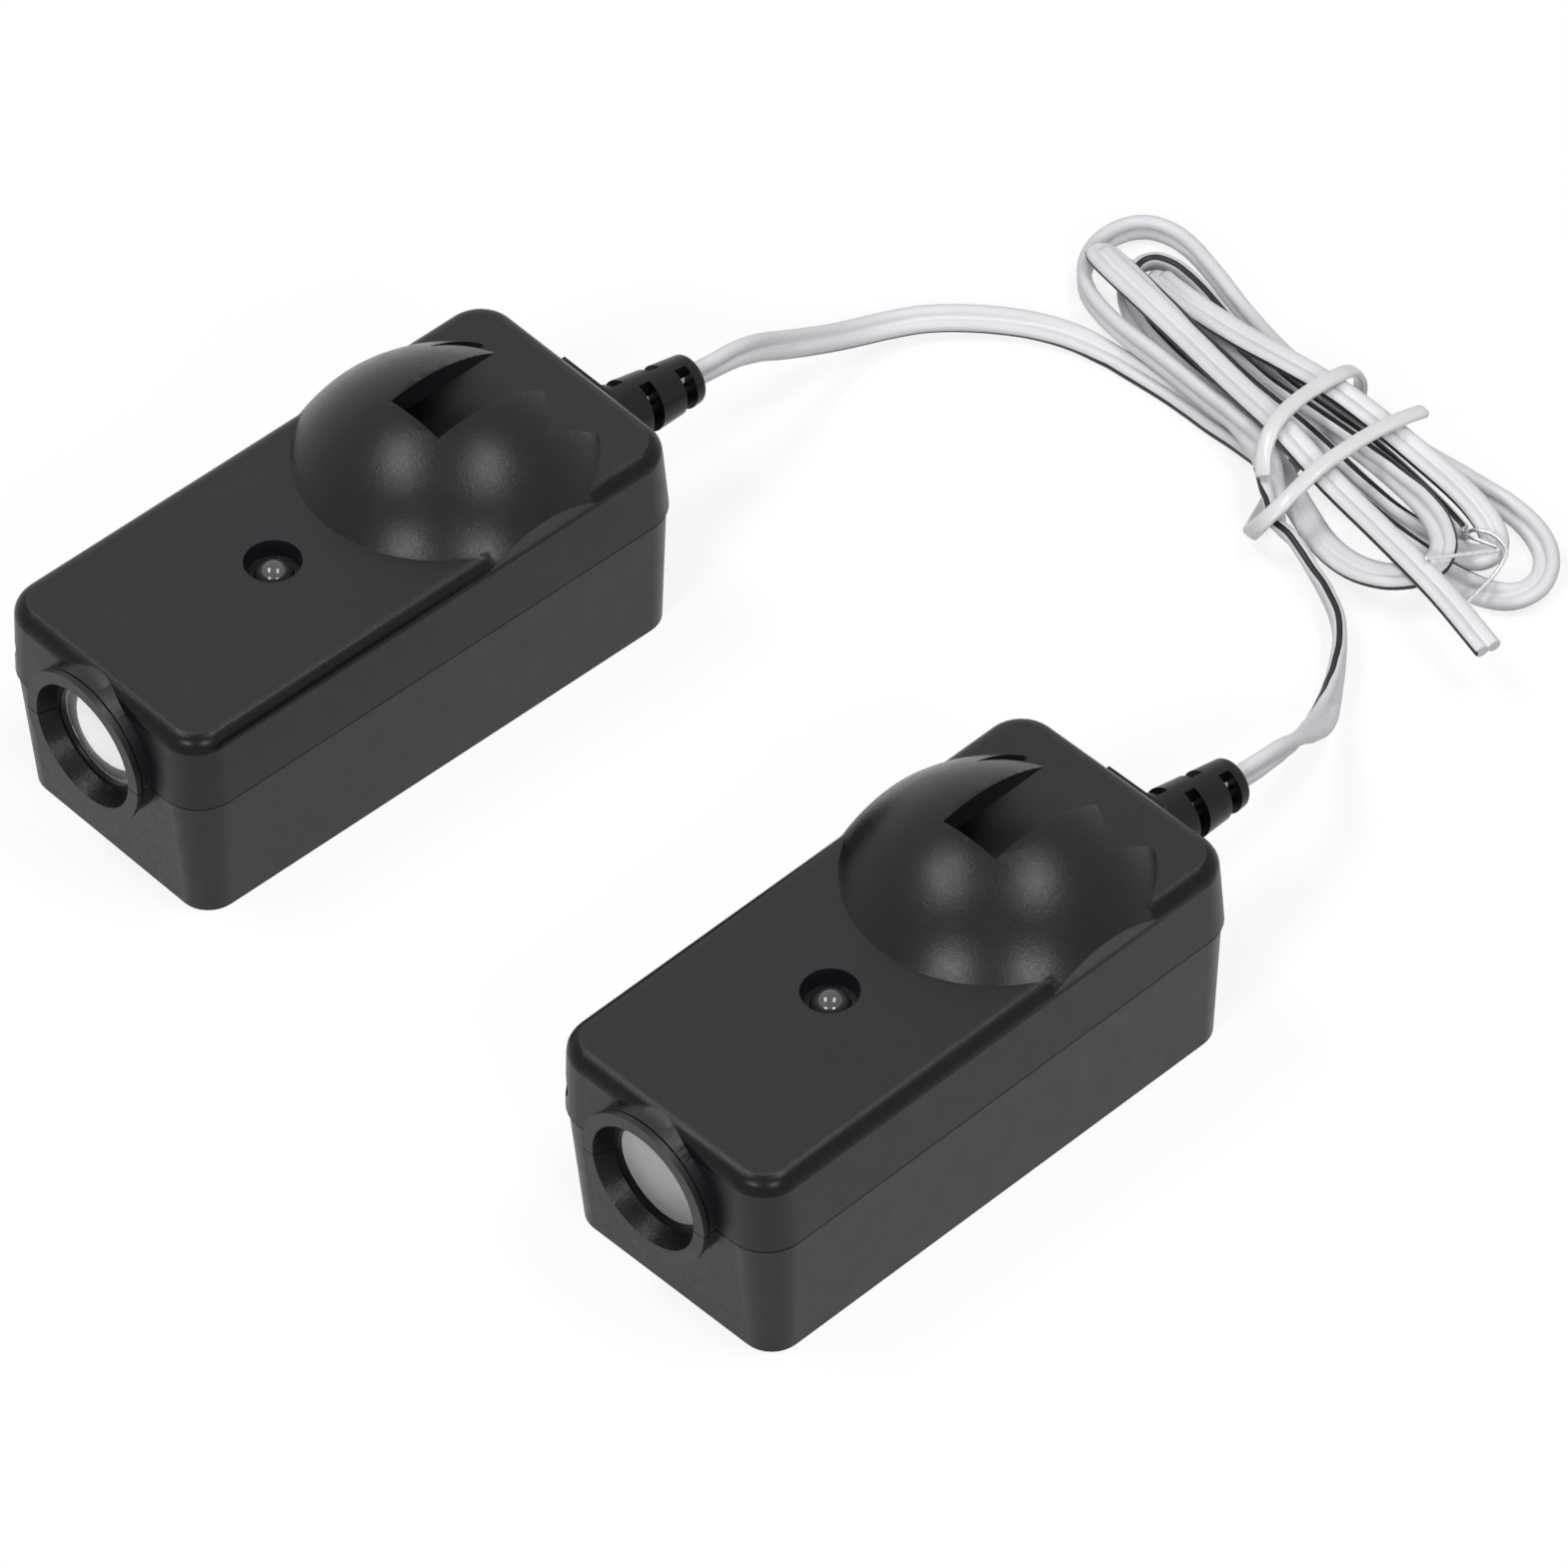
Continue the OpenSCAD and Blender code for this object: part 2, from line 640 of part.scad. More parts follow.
module strain_relief() {
    round_steps = 4;
    neck_in = wall + cover_lip + fit_gap;
    color([0.07, 0.07, 0.075]) difference() {
        union() {
            at_relief(0) translate([-plate_w / 2, -plate_h / 2, fit_gap]) cube([plate_w, plate_h, plate_t]);
            at_relief(0) translate([0, 0, -neck_in]) cylinder(h = neck_in + fit_gap + plate_t, r = relief_neck_r);
            at_relief(0) translate([0, 0, -neck_in - relief_flange_t])
                cylinder(h = relief_flange_t, r = relief_flange_r);
            at_relief(relief_droop) rotate_extrude() polygon(concat(
                [[0, plate_t / 2], [relief_r, plate_t / 2 + relief_r * sin(relief_droop)]],
                [for (i = [0 : round_steps]) let (a = 90 * i / round_steps)
                    [relief_end_r - relief_round + relief_round * cos(a),
                     relief_l - relief_round + relief_round * sin(a)]],
                [[0, relief_l]]
            ));
        }
        for (side = [-1, 1], i = [0, 1]) at_relief(relief_droop)
            translate([
                side > 0 ? flex_slot_floor : -flex_slot_floor - relief_r,
                -relief_r,
                flex_slot_first + i * flex_slot_pitch + (side > 0 ? flex_slot_pitch / 2 : 0) - flex_slot_w / 2
            ])
            cube([relief_r, 2 * relief_r, flex_slot_w]);
        core_bores();
    }
}

// Channels of the two cores, side by side along the droop
module core_bores() {
    for (sy = [-1, 1])
        at_relief(relief_droop) translate([0, sy * core_mid, -body_l / 8])
            cylinder(h = body_l, r = core_r + fit_gap / 2);
}

// The two cores from the tail's end through the strain relief and down to the board
module inner_leads() {
    inner_l = wall + cover_lip + relief_flange_t + core_d;
    pad_y = board_y0 + board_l - post_end;
    back_y = body_l / 2 - inner_l * cos(relief_droop);
    back_z = relief_z + inner_l * sin(relief_droop);
    color([0.93, 0.93, 0.95]) for (sy = [-1, 1]) {
        side_y = -sy * core_mid * sin(relief_droop);
        side_z = -sy * core_mid * cos(relief_droop);
        path = [
            [0, relief_tip_y + side_y, relief_tip_z + side_z],
            [0, back_y + side_y, back_z + side_z],
            [sy * core_d / 2, back_y - core_d / 2, back_z + side_z],
            [sy * 2 * core_d, pad_y + core_d, back_z + side_z - core_d],
            [sy * 2 * core_d, pad_y + core_d / 3, back_z + side_z - 1.5 * core_d],
            [sy * 2 * core_d, pad_y, board_top]
        ];
        tube(path, [for (p = path) [1, 0, 0]], round_section);
    }
}

// Sweeps: a closed tube through the points of a path. At each point the first axis of the
// section lies along the given direction and the section is square to the path
function unit(v) = v / norm(v);
function spot(p) = [p[0], p[1], p[2]];
function heading(path, i) = unit(
    spot(path[min(i + 1, len(path) - 1)]) - spot(path[max(i - 1, 0)]));
function square_to(v, t) = unit(v - t * (v * t));

module tube(path, wides, section) {
    n = len(section);
    last = len(path) - 1;
    corners = [for (i = [0 : last])
        let (t = heading(path, i), w = square_to(wides[i], t), d = cross(t, w))
        for (s = section) spot(path[i]) + w * s.x + d * s.y];
    polyhedron(points = corners, faces = concat(
        [for (j = [1 : n - 2]) [0, j, j + 1]],
        [for (i = [0 : last - 1], j = [0 : n - 1])
            let (k = (j + 1) % n, a = i * n, b = a + n)
            each [[a + j, b + j, b + k], [a + j, b + k, a + k]]],
        [for (j = [1 : n - 2]) [last * n, last * n + j + 1, last * n + j]]
    ));
}

round_sides = 10;
round_section = [for (j = [0 : round_sides - 1]) let (a = 360 * j / round_sides)
    core_r * [cos(a), sin(a)]];
run_section = [for (sx = [1, -1], f = [[2, -0.45], [2, 0.45], [1.3, 1], [-1.3, 1]])
    core_r * sx * f];
hank_section = [for (f = [[2, 0], [1, 1], [-1, 1], [-2, 0], [-1, -1], [1, -1]]) core_r * f];
strand_section = [for (j = [0 : 5]) let (a = 60 * j) strand_d / 2 * [cos(a), sin(a)]];
tie_section = [for (f = [[1, 0], [0.7, 1], [-0.7, 1], [-1, 0], [-0.7, -1], [0.7, -1]])
    [f[0] * tie_w / 2, f[1] * tie_t / 2]];

// A point of the wire is [x, y, z, roll]: roll 0 stands the flat pair upright, 90 lays it down
// with its first core on the left of the way along
function pair_wide(path, i) = let (t = heading(path, i), left = unit(cross([0, 0, 1], t)))
    square_to(left * sin(path[i][3]) + [0, 0, 1] * cos(path[i][3]), t);
function pair_wides(path) = [for (i = [0 : len(path) - 1]) pair_wide(path, i)];

// The hank lies flat behind the receiver. Its own axes: along, across, up
hank_at = [-45.5, 118.9, 0];
hank_yaw = -3.8;
tie_lift_reach = 9;
function lifted(p) = [p[0], p[1], p[2] + (tie_t + 3 * fit_gap) / (1 + pow(p[0] / tie_lift_reach, 4)), p[3]];
function from_hank(p) = [
    hank_at.x + p[0] * cos(hank_yaw) - p[1] * sin(hank_yaw),
    hank_at.y + p[0] * sin(hank_yaw) + p[1] * cos(hank_yaw),
    p[2], p[3]
];

// A pass crosses the middle of the hank: [across, height, slope, climb, roll]
passes = [
    [0, 0, 0, 0, 0],
    [-8.5, 4.8, -0.2, 0, 0],
    [-3.15, 1.95, 0, 0, 180],
    [-5.9, 7.9, -0.12, 0, 90],
    [1.7, 3.4, 0, 0.1, 180],
    [-1, 3, 0, -0.08, 180],
    [-6.7, 1.2, -0.3, 0, 75],
    [3.9, 1.95, 0.04, 0, 180],
    [4.6, 7, 0.06, 0, 90],
    [7.5, 1.95, 0.06, 0, 0]
];

// A bend joins two passes round one end of the hank, in 12 steps. Its tip is
// [reach, across, height, roll]; the swells belly its two halves outward
bend_steps = 12;
function mix(a, b, c) = a * (1 + c) / 2 + b * (1 - c) / 2;
function bend(side, tip, swells, a, b, from, to) = [for (k = [from : to])
    let (
        c = cos(180 * k / bend_steps), q = sin(180 * k / bend_steps), fade = 1 - q * q,
        u = side * tip[0] * q, mid = (a[0] + b[0]) / 2,
        across = mid - (b[0] - a[0]) / 2 * c * (1 + mix(swells[0], swells[1], c) * q * q)
            + (tip[1] - mid) * q * q + u * mix(a[2], b[2], c) * fade,
        up = mix(a[1], b[1], c) + (tip[2] - (a[1] + b[1]) / 2) * q * q
            + u * mix(a[3], b[3], c) * fade,
        roll = mix(a[4], b[4], c) + (tip[3] - (a[4] + b[4]) / 2) * q * q
    ) [u, across, up, roll]];

sender_loops = [for (p = concat(
    [[-28, -7.7, 0.96, 90], [-21, -6.8, 0.96, 90], [-16, -6.5, 0.96, 90],
     [-12, -6.5, 0.96, 90], [-8, -6.5, 0.96, 90], [-4, -6.6, 1.05, 85]],
    bend(1, [30.1, -6.5, 6.5, 90], [1.25, 1.8], passes[6], passes[4], 0, 11),
    bend(-1, [35.2, 4.2, 3.6, 90], [-1.5, -1.7], passes[4], passes[8], 0, 11),
    bend(1, [30.6, 3.2, 2.9, 90], [1.3, 1.2], passes[8], passes[5], 0, 11),
    bend(-1, [41.5, -0.55, 7, 90], [-0.5, 0.5], passes[5], passes[3], 0, 12),
    [[2.6, -6.2, 7.9, 90], [12, -7.3, 8.2, 90], [24, -8.6, 8.6, 90],
     [36, -10.1, 8.6, 90], [46.8, -11.9, 8, 90]]
)) lifted(p)];

receiver_loops = [for (p = concat(
    [[8, -13.8, 4.2, -30], [4, -11, 4.6, -10], [0, -8.7, 4.8, 0], [-8, -7, 4.7, 0]],
    bend(-1, [46.6, 5.8, 2.45, 0], [2.1, 1.1], passes[1], passes[9], 1, 11),
    bend(1, [38.2, 3.2, 1.87, 90], [2.3, 0.9], passes[9], passes[2], 0, 11),
    bend(-1, [40.4, 5.2, 1.87, 150], [2.3, 2.3], passes[2], passes[7], 0, 12),
    [[6, 4.3, 2, 180], [12, 4.5, 2.1, 180], [18, 4.1, 2.2, 180], [22, 3.6, 2.3, 180],
     [25.2, 3.1, 2.3, 180]]
)) lifted(p)];

// Free stretches from the strain reliefs to the hank, in the receiver's axes
relief_mouth = [0, relief_tip_y, relief_tip_z, 0];
relief_out = [0, cos(relief_droop), -sin(relief_droop), 0];
function to_sender(p, moved) = [
    p[0] * cos(sender_yaw) - p[1] * sin(sender_yaw) - moved * pair_pitch,
    p[0] * sin(sender_yaw) + p[1] * cos(sender_yaw) + moved * sender_back,
    p[2], p[3]
];
function lead_in(path) = let (p = path[0], step = core_d * heading(path, 0))
    [p[0] - step.x, p[1] - step.y, p[2] - step.z, p[3]];
sender_run = concat(
    [to_sender(relief_mouth, 1), to_sender(relief_mouth + 2 * core_d * relief_out, 1)],
    [[-100.9, 69, 15.4, 8], [-101.3, 73.5, 13.2, 18], [-101.5, 78, 10.4, 30],
     [-101.5, 82.3, 8, 40], [-101.4, 86.6, 5.8, 48], [-101, 90.7, 4.2, 52],
     [-99.9, 95, 3.2, 55], [-97.9, 99.2, 2.7, 56], [-94.8, 103, 2.4, 58],
     [-91, 106.5, 2.1, 60], [-86.7, 109.4, 1.9, 64], [-82, 111.5, 1.6, 72],
     [-78, 112.5, 1.2, 84]],
    [from_hank(lead_in(sender_loops)), from_hank(sender_loops[0])]
);
receiver_run = concat(
    [relief_mouth, relief_mouth + 2 * core_d * relief_out],
    [[-0.7, 67, 15.3, -8], [-1.8, 71, 13.3, -30], [-3.6, 75.3, 10.3, -65],
     [-5.6, 79.2, 7.6, -100], [-8, 83, 5.3, -130], [-10.6, 86.7, 3.9, -155],
     [-13.3, 90.3, 3.3, -172], [-16.2, 93.9, 3.2, -182], [-19.6, 97.2, 3.1, -190],
     [-24, 99.8, 3.1, -200], [-28.6, 101.6, 3.4, -208], [-33.4, 103.2, 4.2, -211]],
    [for (p = [lead_in(receiver_loops), receiver_loops[0]]) from_hank(p + [0, 0, 0, -180])]
);

module cable_run(path) {
    color([0.93, 0.93, 0.95]) tube(path, pair_wides(path), run_section);
}

module at_hank() {
    translate(hank_at) rotate([0, 0, hank_yaw]) children();
}

module hank_loops(path) {
    color([0.93, 0.93, 0.95]) at_hank() tube(path, pair_wides(path), hank_section);
}

// The stripped end of the receiver's wire, two tinned conductors spread over the hank
stripped_end = spot(receiver_loops[len(receiver_loops) - 1]);
module bare_wire_ends() {
    long_wire = concat([stripped_end - [0, 0, core_r], stripped_end + [0.9, 0, 0.1 - core_r]],
        [[26.8, 2.6, 3], [28.1, 1.9, 4.8], [31, 2.8, 5], [32.4, 2.8, 5.2], [32.3, 1.6, 5.6],
         [31.2, -8.7, 10.3]]);
    short_wire = concat([stripped_end + [0, 0, core_r], stripped_end + [0.9, 0, 0.1 + core_r]],
        [[27.4, 3.2, 4.7], [29.6, 4, 5.2], [31.9, 4, 5.2], [33.6, 3.1, 5], [35, -0.6, 4.4],
         [36.2, -6.9, 4.1]]);
    color([0.8, 0.8, 0.8]) at_hank() for (path = [long_wire, short_wire])
        tube(path, [for (p = path) [0, 0, 1]], strand_section);
}

// Tie strip: one turn round the middle of the hank, its tail folded back over the top
tie_path = [
    [9.7, 10.1, 8.6], [9.6, 6.6, 9.5], [9.6, 3, 10.1], [9.7, -1, 10.5], [10, -4.6, 10.8],
    [10.3, -8.2, 10.9], [10.6, -11.6, 10.2], [10.6, -15, 8.9], [9.8, -17.4, 6.8],
    [8.3, -18, 4.2], [6.4, -16.4, 2], [3.8, -12.2, 0.7], [0.8, -6, 0.6], [-1, 0, 0.6],
    [-2, 5, 0.6], [-2.6, 8.5, 0.62], [-2.9, 10.1, 1.6], [-2.9, 10.6, 3.6], [-2.5, 10, 6],
    [-1.9, 8.3, 8.6],
    [-1.4, 5.2, 10.1], [-1.1, 1.2, 10.7], [-0.4, -3.4, 11.2], [0.8, -7.6, 11.1],
    [2.6, -10.8, 9.7], [4.4, -12.6, 8.2]
];
module hank_tie() {
    color([0.92, 0.93, 0.94]) at_hank() tube(tie_path, [for (p = tie_path) [1, 0, 0]], tie_section);
}

// Least gap between two strands of the wire, in millimetres, measured on points of the core
// lines. Rings closer than six along the same wire don't count
gap_steps = 3;
function core_line(path, side) = let (
    rings = [for (i = [0 : len(path) - 1]) spot(path[i]) + side * core_r * pair_wide(path, i)]
) [for (i = [0 : len(rings) - 2], k = [0 : gap_steps - 1])
    rings[i] + (rings[i + 1] - rings[i]) * k / gap_steps];
function least_gap(a, b, same) = min([for (i = [0 : len(a) - 1])
    min([for (j = [same ? i + 6 * gap_steps : 0 : 1 : len(b) - 1]) norm(a[i] - b[j]), body_l])]) - core_d;
function least_of(one, two, same) = min([for (sa = [-1, 1], sb = [-1, 1])
    least_gap(core_line(one, sa), core_line(two, sb), same)]);
union() {
    echo(sender_hank_least_gap_to_itself = least_of(sender_loops, sender_loops, true));
    echo(receiver_hank_least_gap_to_itself = least_of(receiver_loops, receiver_loops, true));
    echo(least_gap_between_the_two_wires = least_of(sender_loops, receiver_loops, false));
}

module as_receiver() {
    translate(receiver_at) children();
}

module as_sender() {
    translate(sender_at) rotate([0, 0, sender_yaw]) children();
}

emitter_tone = [0.55, 0.6, 0.75];
detector_tone = [0.08, 0.06, 0.09];
as_sender() top_cover();  // sender_top_cover
as_sender() bottom_shell();  // sender_bottom_shell
as_sender() lens(sender_bulge);  // sender_lens
as_sender() indicator_lamp();  // sender_indicator_lamp
as_sender() optical_diode(emitter_tone);  // sender_emitter_diode
as_sender() diode_holder();  // sender_diode_holder
as_sender() circuit_board();  // sender_circuit_board
as_sender() control_chip();  // sender_control_chip
as_sender() capacitor();  // sender_capacitor
as_sender() transistor();  // sender_transistor
as_sender() resistors();  // sender_resistors
as_sender() strain_relief();  // sender_strain_relief
as_sender() inner_leads();  // sender_inner_leads
as_receiver() top_cover();  // receiver_top_cover
as_receiver() bottom_shell();  // receiver_bottom_shell
as_receiver() lens(receiver_bulge);  // receiver_lens
as_receiver() indicator_lamp();  // receiver_indicator_lamp
as_receiver() optical_diode(detector_tone);  // receiver_detector_diode
as_receiver() detector_shield();  // receiver_detector_shield
as_receiver() circuit_board();  // receiver_circuit_board
as_receiver() control_chip();  // receiver_control_chip
as_receiver() capacitor();  // receiver_capacitor
as_receiver() transistor();  // receiver_transistor
as_receiver() resistors();  // receiver_resistors
as_receiver() strain_relief();  // receiver_strain_relief
as_receiver() inner_leads();  // receiver_inner_leads
as_receiver() cable_run(sender_run);  // sender_cable_run
as_receiver() cable_run(receiver_run);  // receiver_cable_run
as_receiver() hank_loops(sender_loops);  // sender_hank_loops
as_receiver() hank_loops(receiver_loops);  // receiver_hank_loops
as_receiver() bare_wire_ends();
as_receiver() hank_tie();
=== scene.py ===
import math

import bmesh
import bpy
from mathutils import Matrix, Vector


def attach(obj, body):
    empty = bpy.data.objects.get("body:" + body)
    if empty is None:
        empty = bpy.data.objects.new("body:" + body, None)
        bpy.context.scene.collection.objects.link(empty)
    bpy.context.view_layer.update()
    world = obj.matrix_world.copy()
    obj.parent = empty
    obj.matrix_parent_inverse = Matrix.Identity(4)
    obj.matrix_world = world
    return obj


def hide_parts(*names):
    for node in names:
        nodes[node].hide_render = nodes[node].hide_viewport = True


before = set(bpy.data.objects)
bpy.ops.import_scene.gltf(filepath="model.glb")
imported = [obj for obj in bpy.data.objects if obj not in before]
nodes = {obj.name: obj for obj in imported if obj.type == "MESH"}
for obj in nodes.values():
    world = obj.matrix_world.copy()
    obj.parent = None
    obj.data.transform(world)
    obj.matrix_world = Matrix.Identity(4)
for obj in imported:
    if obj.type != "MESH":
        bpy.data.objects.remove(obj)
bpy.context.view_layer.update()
print("frame loaded:", len(nodes), "nodes")

mm = 0.001

# Where the two housings stand, as in the part
housings = {
    "receiver": {"at": Vector((52.2355, -8.8744, 0)) * mm, "yaw": 0.0},
    "sender": {"at": Vector((-50.8645, -6.4944, 0)) * mm, "yaw": math.radians(-2.245)},
}
housingSize = {
    "length": 82 * mm, "height": 31.4 * mm, "split": 19.7 * mm,
    "lensHeight": 20.6 * mm, "domeY": 17.74 * mm, "domeRadius": 25.16 * mm,
    "domeCentreZ": 15.74 * mm, "ledY": -10.95 * mm, "ledRecess": 3.8 * mm,
    "boardTop": 14.2 * mm, "edgeRadius": 2.35 * mm, "seam": 0.15 * mm, "mouth": 8.95 * mm,
    "window": Vector((-13.77, -35.27, 23.2)) * mm,
}


# Camera

cameraView = {
    "target": Vector((0.3, 21.0, 0)) * mm,
    "distance": 1.91249,
    "azimuth": math.radians(47.898),
    "elevation": math.radians(45.925),
    "roll": math.radians(-2.47),
    "lens": 346.16, "sensor": 36.0,
    "seesFrom": 0.05, "seesTo": 20,
}


def placeCamera(look):
    az, el, roll = look["azimuth"], look["elevation"], look["roll"]
    back = Vector((math.sin(az) * math.cos(el), -math.cos(az) * math.cos(el), math.sin(el)))
    right = Vector((math.cos(az), math.sin(az), 0))
    up = back.cross(right)
    turnedRight = right * math.cos(roll) + up * math.sin(roll)
    turnedUp = up * math.cos(roll) - right * math.sin(roll)
    camera = bpy.data.objects.new("viewCamera", bpy.data.cameras.new("viewCamera"))
    camera.data.lens = look["lens"]
    camera.data.sensor_width = look["sensor"]
    camera.data.clip_start = look["seesFrom"]
    camera.data.clip_end = look["seesTo"]
    spot = look["target"] + back * look["distance"]
    camera.matrix_world = Matrix.Translation(spot) @ Matrix(
        (turnedRight, turnedUp, back)).transposed().to_4x4()
    bpy.context.scene.collection.objects.link(camera)
    bpy.context.scene.camera = camera


placeCamera(cameraView)
print("camera placed")


# Finishes: colour that drifts a little, roughness that varies, and a fine grain.
# Sizes of patches and grain are in metres

noiseRange = (0.3, 0.7)     # most of the noise lies between these
noiseDetail = 2.0
roughFiner = 3              # patches of roughness in one patch of colour
grainFlatter = 4            # width of a grain over its height
mixSockets = {"factor": 0, "first": 6, "second": 7, "result": 2}    # when it mixes colours


def addNode(tree, kind, inputs=(), **settings):
    made = tree.nodes.new(kind)
    for key, value in settings.items():
        setattr(made, key, value)
    for key, value in dict(inputs).items():
        if isinstance(value, bpy.types.NodeSocket):
            tree.links.new(value, made.inputs[key])
        else:
            made.inputs[key].default_value = value
    return made


def noiseOf(tree, place, size):
    return addNode(tree, "ShaderNodeTexNoise", {
        "Vector": place, "Scale": 1 / size, "Detail": noiseDetail}).outputs[0]


def spread(tree, value, low, high, start=noiseRange[0], end=noiseRange[1]):
    return addNode(tree, "ShaderNodeMapRange", {
        "Value": value, "From Min": start, "From Max": end,
        "To Min": low, "To Max": high}).outputs[0]


def blendColours(tree, factor, one, two):
    mixed = addNode(tree, "ShaderNodeMix", data_type="RGBA")
    tree.links.new(factor, mixed.inputs[mixSockets["factor"]])
    for end, colour in (("first", one), ("second", two)):
        socket = mixed.inputs[mixSockets[end]]
        if isinstance(colour, bpy.types.NodeSocket):
            tree.links.new(colour, socket)
        else:
            socket.default_value = (*colour, 1)
    return mixed.outputs[mixSockets["result"]]


def makeFinish(name, look):
    material = bpy.data.materials.new(name)
    material.use_nodes = True
    tree = material.node_tree
    shader = tree.nodes["Principled BSDF"]
    for key, value in look.get("shader", {}).items():
        shader.inputs[key].default_value = value
    place = addNode(tree, "ShaderNodeTexCoord").outputs["Object"]
    patches = spread(tree, noiseOf(tree, place, look["patch"]), 0, 1)
    colour = blendColours(tree, patches, look["colour"], look["drift"])
    if "dust" in look:
        colour = addDust(tree, place, colour, look["dust"])
    if "fade" in look:
        colour = addPaintedShade(tree, place, colour, look["fade"])
    tree.links.new(colour, shader.inputs["Base Color"])
    rough = spread(tree, noiseOf(tree, place, look["patch"] / roughFiner), *look["rough"])
    tree.links.new(rough, shader.inputs["Roughness"])
    grain = noiseOf(tree, place, look["grain"])
    bump = addNode(tree, "ShaderNodeBump", {
        "Height": grain, "Strength": look["bump"],
        "Distance": look["grain"] / grainFlatter})
    tree.links.new(bump.outputs[0], shader.inputs["Normal"])
    return material


# Sparse pale specks, one in a few cells
def addDust(tree, place, colour, dust):
    cells = addNode(tree, "ShaderNodeTexVoronoi", {"Vector": place, "Scale": 1 / dust["cell"]})
    near = addNode(tree, "ShaderNodeMath", {
        0: cells.outputs["Distance"], 1: dust["size"] / dust["cell"]},
        operation="LESS_THAN").outputs[0]
    shade = addNode(tree, "ShaderNodeSeparateColor", {0: cells.outputs["Color"]}).outputs[0]
    chosen = addNode(tree, "ShaderNodeMath", {0: shade, 1: dust["share"]},
                     operation="LESS_THAN").outputs[0]
    both = addNode(tree, "ShaderNodeMath", {0: near, 1: chosen}, operation="MULTIPLY").outputs[0]
    return blendColours(tree, both, colour, dust["colour"])


# Painted shade: colour that changes slowly along an axis; it paints the receiver's lens darker
# towards its bottom
def addPaintedShade(tree, place, colour, fade):
    axes = addNode(tree, "ShaderNodeSeparateXYZ", {0: place})
    step = spread(tree, axes.outputs[fade["axis"]], 0, 1, fade["from"], fade["to"])
    return blendColours(tree, step, colour, fade["colour"])


